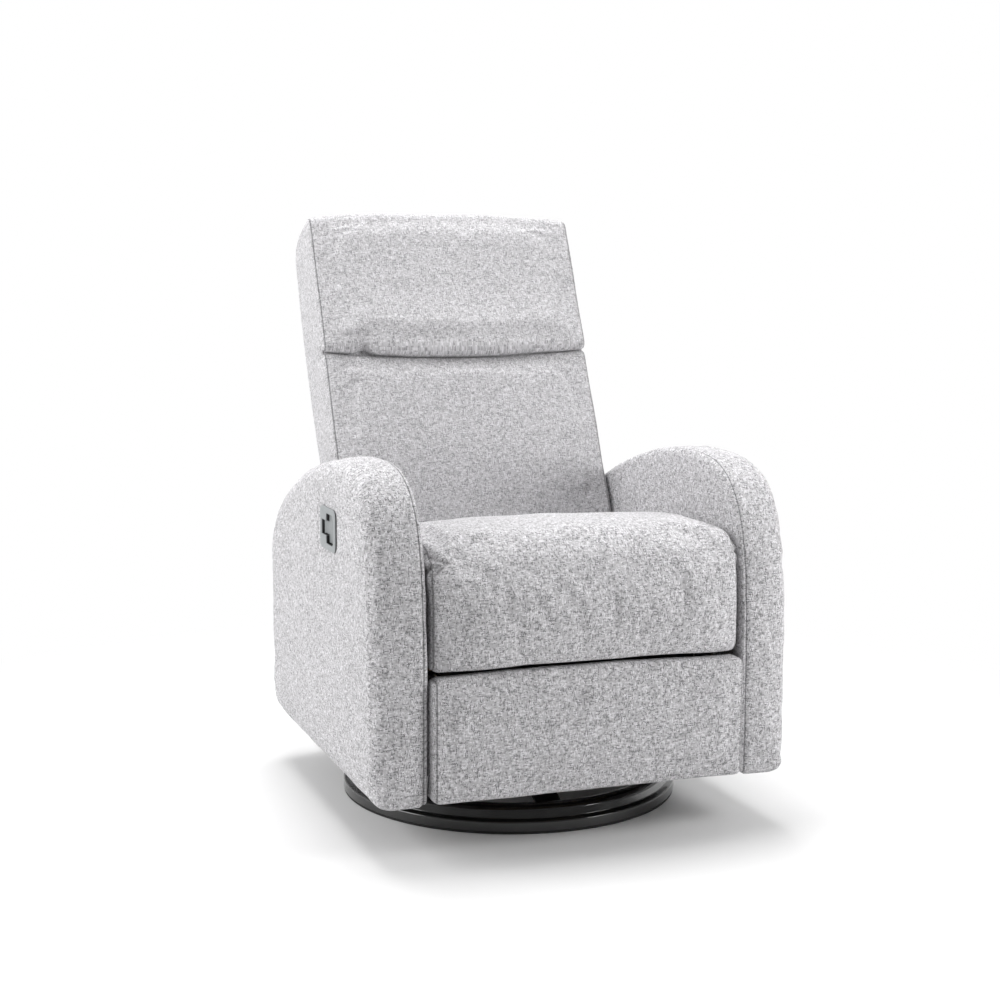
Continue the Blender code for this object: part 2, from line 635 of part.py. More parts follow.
def make_arm(carriage, side, name, mats):
    panel_out = WIDTH / 2 - CUP_DEPTH - CABLE_SPACE
    panel = panel_out - ARM_PANEL_THICKNESS, panel_out
    carriage.add(
        f"arm_panel_{name}", plate(panel_outline(), *span(side, *panel), "X"), mats["plywood"]
    )
    body = soften(plate(arm_outline(), *span(side, ARM_INNER, WIDTH / 2), "X"), ARM_ROUND)
    arm = carriage.add(f"arm_upholstery_{name}", body, mats["fabric"])
    room = CABLE_ROOM if side < 0 else POCKET_FIT
    pocket = plate(
        panel_outline(POCKET_FIT, ARM_PANEL_LIFT + 0.02),
        *span(side, panel[0] - POCKET_FIT, panel[1] + room),
        "X",
    )
    cut(arm, carriage, pocket)
    if side > 0:
        return
    half_length = BEZEL_LENGTH / 2 - BEZEL_MARGIN + POCKET_FIT
    half_height = BEZEL_HEIGHT / 2 - BEZEL_MARGIN + POCKET_FIT
    cup_low = (HANDLE_Y - half_length, HANDLE_HEIGHT - half_height)
    cup_high = (HANDLE_Y + half_length, HANDLE_HEIGHT + half_height)
    recess = plate(
        rectangle(cup_low, cup_high, CUP_CORNER), -WIDTH / 2 - 0.01, -WIDTH / 2 + CUP_DEPTH + POCKET_FIT
    )
    cut(arm, carriage, recess)
    hole = rod((-panel[0], HANDLE_Y, CABLE_LOW), (-ARM_INNER + 0.01, HANDLE_Y, CABLE_LOW), CABLE_HOLE, 12)
    cut(arm, carriage, hole)


def make_handle(carriage, handle, mats):
    face = -WIDTH / 2 - FIT
    half = BEZEL_LENGTH / 2, BEZEL_HEIGHT / 2
    low = (HANDLE_Y - half[0], HANDLE_HEIGHT - half[1])
    high = (HANDLE_Y + half[0], HANDLE_HEIGHT + half[1])
    lip = plate(rectangle(low, high, 0.014, 4), face - BEZEL_LIP, face)
    bezel = carriage.add("handle_bezel", lip, mats["grey_plastic"])
    cup_low = (low[0] + BEZEL_MARGIN, low[1] + BEZEL_MARGIN)
    cup_high = (high[0] - BEZEL_MARGIN, high[1] - BEZEL_MARGIN)
    cup = plate(rectangle(cup_low, cup_high, CUP_CORNER), face - 0.001, -WIDTH / 2 + CUP_DEPTH)
    weld(bezel, carriage, cup)
    opening = plate(
        paddle_outline(PADDLE_GAP, FINGER_GAP - PADDLE_GAP),
        face - BEZEL_LIP - 0.01,
        -WIDTH / 2 + CUP_DEPTH - CUP_WALL,
    )
    cut(bezel, carriage, opening)
    half_sheet = PADDLE_THICKNESS / 2
    paddle = handle.add(
        "handle_paddle",
        plate(paddle_outline(), PADDLE_X - half_sheet, PADDLE_X + half_sheet),
        mats["grey_plastic"],
    )
    tab = TAB_HEIGHT / 2
    barrel = rod(
        (PADDLE_X, PADDLE_Y, HANDLE_HEIGHT - tab - 0.001),
        (PADDLE_X, PADDLE_Y, HANDLE_HEIGHT + tab + 0.001),
        BARREL_RADIUS,
        12,
    )
    weld(paddle, handle, barrel)
    x = -(WIDTH / 2 - CUP_DEPTH - FIT - CABLE_RADIUS - 0.002)
    bend = 0.020
    route = [(x, HANDLE_Y, HANDLE_HEIGHT), (x, HANDLE_Y, 0.5 * (HANDLE_HEIGHT + CABLE_LOW))]
    turn = arc((x + bend, CABLE_LOW + bend), bend, 180, 270, 6)
    route += [(a, HANDLE_Y, b) for a, b in turn]
    route.append((-SLIDE_OUT - FIT, HANDLE_Y, CABLE_LOW))
    carriage.add("release_cable", sweep(route, CABLE_RADIUS, 8), mats["rubber"])


def make_carriage(carriage, mats):
    reach = ARM_INNER - FIT
    for sign, where in ((-1, "front"), (1, "rear")):
        y = SWIVEL_Y + sign * CROSSBAR_SPREAD
        low = (y - BAR_SIZE / 2, CROSSBAR_BOTTOM)
        high = (y + BAR_SIZE / 2, CROSSBAR_BOTTOM + CROSSBAR_HEIGHT)
        tube = hollow_bar(low, high, -reach, reach, "X")
        carriage.add(f"carriage_cross_tube_{where}", tube, mats["black_steel"])
    ends = SWIVEL_Y - RAIL_LENGTH / 2, SWIVEL_Y + RAIL_LENGTH / 2
    for side, name in SIDES:
        low, high = span(side, RAIL_IN, RAIL_OUT)
        tube = hollow_bar(
            (low, RAIL_BOTTOM), (high, RAIL_BOTTOM + RAIL_HEIGHT), *ends, "Y"
        )
        rail = carriage.add(f"carriage_rail_{name}", tube, mats["black_steel"])
        for sign in (-1, 1):
            y = SWIVEL_Y + sign * GLIDE_SPREAD
            stud = span(side, HANGER_IN - RUN / 2, RAIL_IN + TUBE_WALL / 2)
            pin = rod((stud[0], y, GLIDE_PIN_HEIGHT), (stud[1], y, GLIDE_PIN_HEIGHT), GLIDE_PIN_RADIUS)
            weld(rail, carriage, pin)
        low, high = span(side, SLIDE_IN, SLIDE_OUT)
        slide = hollow_bar((low, RAIL_BOTTOM), (high, RAIL_BOTTOM + SLIDE_RAIL_HEIGHT), *ends, "Y")
        carriage.add(f"seat_slide_rail_{name}", slide, mats["zinc_steel"])
        make_arm(carriage, side, name, mats)
    rear = ARM_REAR - REAR_PANEL_INSET
    inside, ledge = rear - REAR_PANEL_THICKNESS, rear - REAR_LEDGE
    outline = [(rear, ARM_BOTTOM), (rear, REAR_PANEL_TOP), (ledge, REAR_PANEL_TOP)]
    outline += [(ledge, REAR_PANEL_TOP - LEDGE_THICKNESS), (inside, REAR_PANEL_TOP - LEDGE_THICKNESS)]
    outline.append((inside, ARM_BOTTOM))
    carriage.add("rear_panel", plate(outline, -reach, reach, "X"), mats["fabric"])


def make_seat(seat, mats):
    y, z = HINGE_Y, HINGE_HEIGHT
    slide_top = RAIL_BOTTOM + SLIDE_RAIL_HEIGHT
    front = FOOT_PIVOT.y
    top = SEAM_HEIGHT - FIT
    rail_front = SWIVEL_Y - RAIL_LENGTH / 2
    outline = [(rail_front + 0.02, MECHANISM_BOTTOM), (y - 0.012, MECHANISM_BOTTOM)]
    outline += [(y + HINGE_BOSS, z - 0.100)] + arc((y, z), HINGE_BOSS, 0, 180, 8)
    outline += [(y - HINGE_BOSS, z - 0.060), (y - 0.032, top), (front - 0.068, top)]
    outline += [(front - 0.068, top - 0.016), (front - 0.020, FOOT_PIVOT.z - 0.022)]
    holes = [circle((y, z), HINGE_PIN_RADIUS + PIN_FIT)]
    holes += [circle((FOOT_PIVOT.y, FOOT_PIVOT.z), FOOT_PIN_RADIUS + PIN_FIT, 12)]
    for side, name in SIDES:
        side_plate = plate(outline, *span(side, PLATE_IN, PLATE_OUT), "X", holes)
        mechanism = seat.add(f"mechanism_plate_{name}", side_plate, mats["black_steel"])
        low, high = span(side, SLIDE_IN + 0.002, PLATE_IN + MECHANISM_SHEET / 2)
        flange = block(
            (low, rail_front + 0.03, slide_top + FIT), (high, y - 0.03, slide_top + FIT + 0.003)
        )
        weld(mechanism, seat, flange)

    outer = rectangle((-FRAME_HALF, FRAME_FRONT), (FRAME_HALF, FRAME_REAR))
    inner = rectangle(
        (-FRAME_HALF + FRAME_RAIL, FRAME_FRONT + FRAME_RAIL),
        (FRAME_HALF - FRAME_RAIL, FRAME_REAR - FRAME_RAIL),
    )
    frame = plate(outer, SEAM_HEIGHT, SEAM_HEIGHT + FRAME_HEIGHT, "Z", [inner])
    seat.add("seat_frame", frame, mats["plywood"])

    height = SEAM_HEIGHT + FRAME_HEIGHT + FIT + SPRING_WIRE
    start, end = FRAME_FRONT + 0.008, FRAME_REAR - 0.008
    pitch = 2 * (FRAME_HALF - FRAME_RAIL) / SPRING_COUNT
    for number in range(SPRING_COUNT):
        x = (number - (SPRING_COUNT - 1) / 2) * pitch
        steps = 6 * SPRING_LOOPS
        wire = [
            (
                x + 0.35 * pitch * math.sin(2 * math.pi * SPRING_LOOPS * i / steps),
                start + (end - start) * i / steps,
                height,
            )
            for i in range(steps + 1)
        ]
        seat.add(f"seat_spring_{number + 1}", sweep(wire, SPRING_WIRE, 6), mats["zinc_steel"])
    deck_low = height + SPRING_WIRE + FIT
    deck = block(
        (-FRAME_HALF, FRAME_FRONT, deck_low), (FRAME_HALF, FRAME_REAR, deck_low + DECK_THICKNESS)
    )
    seat.add("seat_deck", deck, mats["webbing"])
    seat.add("seat_cushion", seat_cushion(), mats["fabric"])


def seat_cushion():
    """Side view: a front lip that hides the frame, a deep round roll, and a gently crowned top."""
    lip = FRONT + SEAT_LIP
    low_rear = HINGE_Y - SEAT_REAR_RELIEF
    back_face = HINGE_Y + BACK_FRONT / math.cos(BACK_TILT)
    back_face += (SEAT_REAR_TOP - HINGE_HEIGHT) * math.tan(BACK_TILT)
    rear_top = (back_face - 0.006, SEAT_REAR_TOP)
    outline = [(lip, SEAM_HEIGHT), (FRONT + 0.022, SEAM_HEIGHT)]
    outline += bezier(
        (FRONT + 0.008, SEAM_HEIGHT + 0.014),
        (FRONT - 0.004, SEAM_HEIGHT + 0.075),
        (FRONT - 0.006, SEAT_CROWN - 0.040),
        (FRONT + 0.055, SEAT_CROWN - 0.012),
        7,
    )
    outline += bezier(
        (FRONT + 0.055, SEAT_CROWN - 0.012),
        (FRONT + 0.110, SEAT_CROWN + 0.004),
        (rear_top[0] - 0.200, SEAT_CROWN + 0.004),
        rear_top,
        5,
    )
    outline += [rear_top, (low_rear, HINGE_HEIGHT + 0.042), (low_rear, SEAT_FLOOR), (lip, SEAT_FLOOR)]
    return soften(plate(outline, -SEAT_HALF, SEAT_HALF, "X"), 0.012)


def heading(angle):
    """A unit step in (y, z), that many radians up from straight forward."""
    return Vector((0, -math.cos(angle), math.sin(angle)))


def foot_points():
    """The pivots of the footrest linkage, closed."""
    a, b = heading(FOOT_A_ANGLE), heading(FOOT_B_ANGLE)
    cross = FOOT_PIVOT + FOOT_CROSS * a
    low = FOOT_PIVOT + 2 * FOOT_CROSS * a
    high = cross + FOOT_CROSS * b
    far = low + FOOT_CROSS * b
    return {
        "pivot": FOOT_PIVOT,
        "cross": cross,
        "low": low,
        "high": high,
        "far": far,
        "tail": cross - FOOT_TAIL * b,
        "board": low + (FOOT_CROSS + FOOT_REACH) * b,
        "tip": far + FOOT_TIP * a,
    }


def make_footrest(groups, mats):
    p = foot_points()
    # name, group, its two ends, layer, holes, and the pins it carries with the layer they reach
    links = (
        ("footrest_drive_link", groups["drive"], "pivot", "low", LAYER_A, (), ("cross", "low")),
        ("footrest_support_link", groups["support"], "tail", "high", LAYER_B, ("cross", "high"), ()),
        ("footrest_upper_link", groups["upper"], "high", "tip", LAYER_A, (), ("high", "far")),
        ("footrest_carrier_link", groups["carrier"], "low", "board", LAYER_B, ("low", "far", "board"), ()),
    )
    for title, group, start, end, layer, holes, pins in links:
        outline = bar_outline((p[start].y, p[start].z), (p[end].y, p[end].z), FOOT_LINK_WIDTH)
        rounds = [circle((p[h].y, p[h].z), FOOT_PIN_RADIUS + PIN_FIT, 12) for h in holes]
        for side, name in SIDES:
            sheet = plate(outline, *span(side, layer, layer + LINK_SHEET), "X", rounds)
            link = group.add(f"{title}_{name}", sheet, mats["zinc_steel"])
            for pin in pins:
                low, high = span(side, LAYER_B - PIN_END, layer + LINK_SHEET / 2)
                stud = rod((low, p[pin].y, p[pin].z), (high, p[pin].y, p[pin].z), FOOT_PIN_RADIUS, 12)
                weld(link, group, stud)
            if title == "footrest_drive_link":
                low, high = span(side, layer + LINK_SHEET / 2, PLATE_OUT + PIN_END)
                y, z = p["pivot"].y, p["pivot"].z
                weld(link, group, rod((low, y, z), (high, y, z), FOOT_PIN_RADIUS, 12))
    reach = LAYER_A - FIT
    centre = (p["pivot"].y, p["pivot"].z)
    bore = circle(centre, TORQUE_TUBE_RADIUS - TUBE_WALL)
    tube = plate(circle(centre, TORQUE_TUBE_RADIUS), -reach, reach, "X", [bore])
    groups["drive"].add("footrest_torque_tube", tube, mats["black_steel"])

    board_front = FOOTREST_REAR - BOARD_THICKNESS
    pad = block(
        (-SEAT_HALF, FOOTREST_FRONT, FOOTREST_BOTTOM),
        (SEAT_HALF, board_front - FIT, FOOTREST_TOP),
        0.012,
        3,
    )
    groups["footrest"].add("footrest_pad", pad, mats["fabric"])
    board = block(
        (-SEAT_HALF + BOARD_INSET, board_front, FOOTREST_BOTTOM + BOARD_INSET),
        (SEAT_HALF - BOARD_INSET, FOOTREST_REAR, FOOTREST_TOP - 0.006),
    )
    groups["footrest"].add("footrest_board", board, mats["plywood"])
    y, z = p["board"].y, p["board"].z
    back = FOOTREST_REAR + FIT
    half = FOOT_LINK_WIDTH / 2
    outline = [(back, z - BRACKET_DROP), (back + BRACKET_FOOT, z - BRACKET_DROP), (y + half, z - 0.010)]
    outline += arc((y, z), half, -20, 90, 5) + [(back, z + half)]
    for side, name in SIDES:
        sheet = plate(outline, *span(side, LAYER_C, LAYER_C + LINK_SHEET), "X")
        bracket = groups["footrest"].add(f"footrest_bracket_{name}", sheet, mats["black_steel"])
        low, high = span(side, LAYER_C - BRACKET_FLANGE, LAYER_C + LINK_SHEET / 2)
        flange = block((low, back, z - BRACKET_DROP), (high, back + LINK_SHEET, z + half - 0.001))
        weld(bracket, groups["footrest"], flange)
        low, high = span(side, LAYER_C + LINK_SHEET / 2, LAYER_B + LINK_SHEET + PIN_END)
        weld(bracket, groups["footrest"], rod((low, y, z), (high, y, z), FOOT_PIN_RADIUS, 12))


def make_back(back, mats):
    """Built in the back's own frame: X across, Y to the rear of the hinge, Z up along the back."""
    inner = POST_OUT - POST_WIDTH
    top = BACK_LENGTH - FRAME_TOP_MARGIN
    outline = [(-POST_OUT, -POST_BELOW), (-inner, -POST_BELOW), (-inner, 0.050), (inner, 0.050)]
    outline += [(inner, -POST_BELOW), (POST_OUT, -POST_BELOW), (POST_OUT, top), (-POST_OUT, top)]
    windows = [
        rectangle((-inner, 0.090), (inner, CREASE - 0.020)),
        rectangle((-inner, CREASE + 0.020), (inner, top - 0.040)),
    ]
    frame = plate(outline, FRAME_FRONT_DEPTH, FRAME_REAR_DEPTH, "Y", windows)
    back.add("back_frame", frame, mats["plywood"])

    front = CUSHION_REAR + FIT
    ends = -inner - WEB_OVERLAP, inner + WEB_OVERLAP
    low, high = 0.075, CREASE - 0.005
    window = (high - low) / 9
    gaps = [
        rectangle((left, low + k * window), (right, low + (k + 1) * window))
        for left, right in ((ends[0] + 0.02, -0.110), (-0.070, 0.070), (0.110, ends[1] - 0.02))
        for k in (1, 3, 5, 7)
    ]
    outline = rectangle((ends[0], low), (ends[1], high))
    web = plate(outline, front, front + WEB_THICKNESS, "Y", gaps)
    back.add("back_webbing", web, mats["webbing"])

    seat_back = block(
        (-BACK_HALF, BACK_FRONT, BACK_START), (BACK_HALF, CUSHION_REAR, CREASE - CREASE_GAP / 2), 0.014, 3
    )
    back.add("back_cushion", seat_back, mats["fabric_light"])
    head = block(
        (-BACK_HALF, BACK_FRONT, CREASE + CREASE_GAP / 2), (BACK_HALF, CUSHION_REAR, BACK_LENGTH), 0.018, 3
    )
    back.add("head_cushion", head, mats["fabric_light"])

    start = CUSHION_REAR + FIT
    crown = (COVER_CROWN_DEPTH, BACK_CROWN)
    side = [(start, BACK_START), (COVER_LOW_DEPTH, BACK_START)]
    side += bezier(
        (COVER_LOW_DEPTH, BACK_START),
        (COVER_DEPTH - 0.010, 0.45 * BACK_CROWN),
        (COVER_DEPTH + 0.010, 0.70 * BACK_CROWN),
        crown,
        8,
    )[1:]
    end = (start, BACK_LENGTH - 0.002)
    side += bezier(crown, (0.090, BACK_LENGTH - 0.012), (0.060, BACK_LENGTH), end, 5)
    side.append(end)
    body = soften(plate(side, -BACK_HALF, BACK_HALF, "X"), 0.012)
    cover = back.add("back_outer_cover", body, mats["fabric"])
    room = block(
        (-BACK_HALF + COVER_WALL, start - 0.02, -0.1),
        (BACK_HALF - COVER_WALL, FRAME_REAR_DEPTH + 2 * FIT, BACK_LENGTH - COVER_TOP_WALL),
    )
    cut(cover, back, room)

    half = HINGE_BOSS - 0.002
    for side_sign, name in SIDES:
        low, high = span(side_sign, BRACKET_OUT - MECHANISM_SHEET, BRACKET_OUT)
        outline = arc((0, 0), half, 180, 360, 8)
        outline += [(FRAME_REAR_DEPTH - 0.004, 0.040), (FRAME_REAR_DEPTH - 0.004, 0.180)]
        outline += [(FRAME_FRONT_DEPTH + 0.004, 0.180), (FRAME_FRONT_DEPTH + 0.004, BACK_START)]
        outline += [(CUSHION_REAR - 0.004, BACK_START - 0.004), (-half, 0.012)]
        bracket = back.add(f"back_bracket_{name}", plate(outline, low, high, "X"), mats["black_steel"])
        low, high = span(side_sign, BRACKET_OUT - MECHANISM_SHEET / 2, PLATE_OUT + PIN_END)
        weld(bracket, back, rod((low, 0, 0), (high, 0, 0), HINGE_PIN_RADIUS))


def build():
    clear_scene()
    mats = {name: make_material(name) for name in MATERIALS}
    front_y, rear_y = SWIVEL_Y - GLIDE_SPREAD, SWIVEL_Y + GLIDE_SPREAD
    base = Group("base")
    swivel = Group("swivel_axis", (0, SWIVEL_Y, SWIVEL_PLATE_BOTTOM), base)
    front_links = Group("glide_front_axis", (0, front_y, GLIDE_TOP_PIN), swivel)
    rear_links = Group("glide_rear_axis", (0, rear_y, GLIDE_TOP_PIN), swivel)
    carriage = Group("carriage_axis", (0, front_y, GLIDE_PIN_HEIGHT), front_links)
    handle = Group("handle_axis", (PADDLE_X, PADDLE_Y, HANDLE_HEIGHT), carriage)
    seat = Group("seat_slide", (0, HINGE_Y, SEAM_HEIGHT), carriage)
    back = Group("back_axis", (0, HINGE_Y, HINGE_HEIGHT), seat, BACK_TILT)
    p = foot_points()
    drive = Group("footrest_drive_axis", p["pivot"], seat)
    support = Group("footrest_support_axis", p["cross"], drive)
    carrier = Group("footrest_carrier_axis", p["low"], drive)
    upper = Group("footrest_upper_axis", p["high"], support)
    footrest = Group("footrest_axis", p["board"], carrier)
    chain = {"drive": drive, "support": support, "carrier": carrier, "upper": upper, "footrest": footrest}

    make_base(base, mats)
    make_swivel(swivel, mats)
    make_hangers(front_links, front_y, "front", mats)
    make_hangers(rear_links, rear_y, "rear", mats)
    make_carriage(carriage, mats)
    make_handle(carriage, handle, mats)
    make_seat(seat, mats)
    make_footrest(chain, mats)
    make_back(back, mats)


build()
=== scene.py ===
"""Looks of a glider nursery chair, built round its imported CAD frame.

Metres, +Z up, the sitter faces -Y and the sitter's left is +X.
"""

import json
import math

import bmesh
import bpy
import numpy as np
from mathutils import Matrix, Vector, noise


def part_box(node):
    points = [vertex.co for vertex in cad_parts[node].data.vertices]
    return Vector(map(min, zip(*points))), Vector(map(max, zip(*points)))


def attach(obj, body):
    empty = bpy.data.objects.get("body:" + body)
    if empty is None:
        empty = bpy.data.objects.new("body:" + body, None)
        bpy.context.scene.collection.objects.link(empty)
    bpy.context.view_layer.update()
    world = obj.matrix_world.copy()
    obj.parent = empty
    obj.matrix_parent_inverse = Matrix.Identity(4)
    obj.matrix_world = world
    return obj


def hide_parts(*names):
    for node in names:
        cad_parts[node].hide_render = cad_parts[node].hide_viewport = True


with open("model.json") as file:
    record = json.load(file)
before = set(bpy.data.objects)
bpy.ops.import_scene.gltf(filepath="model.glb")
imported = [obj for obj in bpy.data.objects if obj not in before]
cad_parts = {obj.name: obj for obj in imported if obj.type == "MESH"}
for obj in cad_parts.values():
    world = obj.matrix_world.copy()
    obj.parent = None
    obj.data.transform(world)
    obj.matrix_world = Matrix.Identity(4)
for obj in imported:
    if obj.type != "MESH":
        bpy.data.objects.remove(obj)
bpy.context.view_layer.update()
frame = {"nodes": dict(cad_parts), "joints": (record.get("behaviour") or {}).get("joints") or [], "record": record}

# Camera
CAMERA_AT = (-1.0952, -3.0134, 0.9427)
CAMERA_YAW = math.radians(19.989)
CAMERA_PITCH = math.radians(-7.56)
CAMERA_ROLL = math.radians(0.28)
CAMERA_LENS = 63.63

# Light: name, place, what it faces, side in metres, watts
SOFTBOXES = (
    ("left_softbox", (-2.7, 0.3, 1.5), (0, 0, 0.4), 1.8, 62),
    ("top_softbox", (0.0, 0.6, 3.0), (0, 0, 0.5), 2.0, 94),
    ("right_softbox", (1.50, -1.50, 1.2), (0.1, -0.2, 0.4), 0.9, 30),
)
SKY = (-0.8, 0.7, 0.17, 0.62)  # strength is the third to the fourth as Y is the first to the second

# Mesh work
VOXEL = 0.007
FINE_VOXEL = 0.006  # of the pads and the rear cover
OUTLINE_STEP = 0.012  # most between two points of an outline
CLOTH_FRAMES = 16
PRESSURE = 4.0
GENTLE = 2.5  # pressure in the arms and the back's shell
FACES_SIDE = 0.72  # x of a normal past which a face counts as a side
BATCH = 20000  # points measured against an outline at a time

# Weave
THREAD = 0.0017  # pitch of the cloth's threads
SLUB = 0.0085  # length of a fleck along its thread


def joint_at(name):
    return next(Vector(j["pos_m"]) for j in frame["joints"] if j["name"] == name)


ARM_LOW, ARM_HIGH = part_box("arm_upholstery_left")
SEAT_LOW, SEAT_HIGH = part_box("seat_cushion")
FOOT_LOW, FOOT_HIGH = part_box("footrest_pad")
REAR_LOW, REAR_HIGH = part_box("rear_panel")
BOARD_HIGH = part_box("footrest_board")[1]
RING_LOW, RING_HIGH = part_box("base_ring")
BEZEL_LOW, BEZEL_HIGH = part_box("handle_bezel")
HINGE = joint_at("back_recline")
SWIVEL = joint_at("base_swivel")

# The arms and the handle
BEZEL_WELL = 0.0075  # the bezel's edge to the well that its cup sits in
ARM_SEAM = 0.0085  # the arm's inner face to the seam of its band
ARM_ROUND_IN, ARM_ROUND_OUT = 0.007, 0.024  # rims of an arm's two sides
ARM_SHRINK = 0.003  # how much smaller an arm's cloth starts

# The seat
SEAT_DEPTH = 0.565  # the hinge to the seat's front
FRONT = HINGE.y - SEAT_DEPTH
SEAM_ARCH = 0.007  # rise of the seam between the seat and the footrest at its middle

# The back, measured along itself from the hinge
BACK_TILT = math.radians(25)
BACK_HALF = 0.270  # half its width
BACK_START, BACK_TOP = 0.030, 0.699
CREASE = 0.408  # the crease between its two pads
CREASE_DIP = 0.015  # how much lower the crease is in the middle
FLAP_DEPTH, FLAP_LOW, FLAP_HALF = 0.0535, -0.024, 0.248  # the cover's flap behind the frame's foot


def make_camera():
    turn = (math.sin(CAMERA_YAW), math.cos(CAMERA_YAW))
    level, rise = math.cos(CAMERA_PITCH), math.sin(CAMERA_PITCH)
    ahead = Vector((turn[0] * level, turn[1] * level, rise))
    right = Vector((turn[1], -turn[0], 0))
    up = right.cross(ahead)
    c, s = math.cos(CAMERA_ROLL), math.sin(CAMERA_ROLL)
    across, upward = right * c + up * s, up * c - right * s
    matrix = Matrix((across, upward, -ahead)).transposed().to_4x4()
    matrix.translation = CAMERA_AT
    data = bpy.data.cameras.new("camera")
    data.lens = CAMERA_LENS
    data.sensor_width = 36
    camera = bpy.data.objects.new("camera", data)
    bpy.context.scene.collection.objects.link(camera)
    camera.matrix_world = matrix
    bpy.context.scene.camera = camera


# Materials


class Shader:
    """A material under construction: adds nodes and joins them."""

    def __init__(self, name):
        self.material = bpy.data.materials.new(name)
        self.material.use_nodes = True
        self.tree = self.material.node_tree
        self.main = self.tree.nodes["Principled BSDF"]

    def node(self, kind, inputs=None, **settings):
        made = self.tree.nodes.new(kind)
        for key, value in settings.items():
            setattr(made, key, value)
        for key, value in (inputs or {}).items():
            self.put(made.inputs[key], value)
        return made

    def put(self, socket, value):
        if isinstance(value, bpy.types.NodeSocket):
            self.tree.links.new(value, socket)
        else:
            socket.default_value = value

    def maths(self, operation, *values):
        made = self.node("ShaderNodeMath", dict(enumerate(values)), operation=operation)
        return made.outputs[0]

    def faded(self, share):
        """From a little over a half to one, as share goes from 0 to 1."""
        return self.maths("ADD", 0.55, self.maths("MULTIPLY", share, 0.45))

    def pair(self, x, y, z=0.0):
        return self.node("ShaderNodeCombineXYZ", {0: x, 1: y, 2: z}).outputs[0]

    def noise(self, vector, scale=1.0, detail=2.0, rough=0.5):
        made = self.node(
            "ShaderNodeTexNoise",
            {"Vector": vector, "Scale": scale, "Detail": detail, "Roughness": rough},
        )
        return made.outputs[0]

    def step(self, value, low, high, out_low=0.0, out_high=1.0):
        made = self.node(
            "ShaderNodeMapRange",
            {0: value, 1: low, 2: high, 3: out_low, 4: out_high},
            interpolation_type="SMOOTHSTEP",
        )
        return made.outputs[0]

    def mix(self, share, first, second):
        """Between two colours."""
        made = self.node("ShaderNodeMix", {0: share, 6: first, 7: second}, data_type="RGBA")
        return made.outputs[2]

    def blend(self, share, first, second):
        """Between two numbers."""
        return self.node("ShaderNodeMix", {0: share, 2: first, 3: second}).outputs[0]

    def bump(self, height, distance, strength=1.0):
        made = self.node(
            "ShaderNodeBump", {"Height": height, "Distance": distance, "Strength": strength}
        )
        self.put(self.main.inputs["Normal"], made.outputs[0])

    def place(self):
        return self.node("ShaderNodeTexCoord").outputs["Object"]

    def set(self, **values):
        names = {"colour": "Base Color", "rough": "Roughness", "metal": "Metallic"}
        names |= {"coat": "Coat Weight", "coat_rough": "Coat Roughness"}
        names |= {"sheen": "Sheen Weight", "sheen_rough": "Sheen Roughness"}
        names |= {"level": "Specular IOR Level"}
        for key, value in values.items():
            self.put(self.main.inputs[names[key]], value)


def grey(value):
    return (value, value, value, 1.0)


def tinted(value):
    """The linen's grey, a shade towards violet."""
    return (value, value * 0.985, value * 1.012, 1.0)


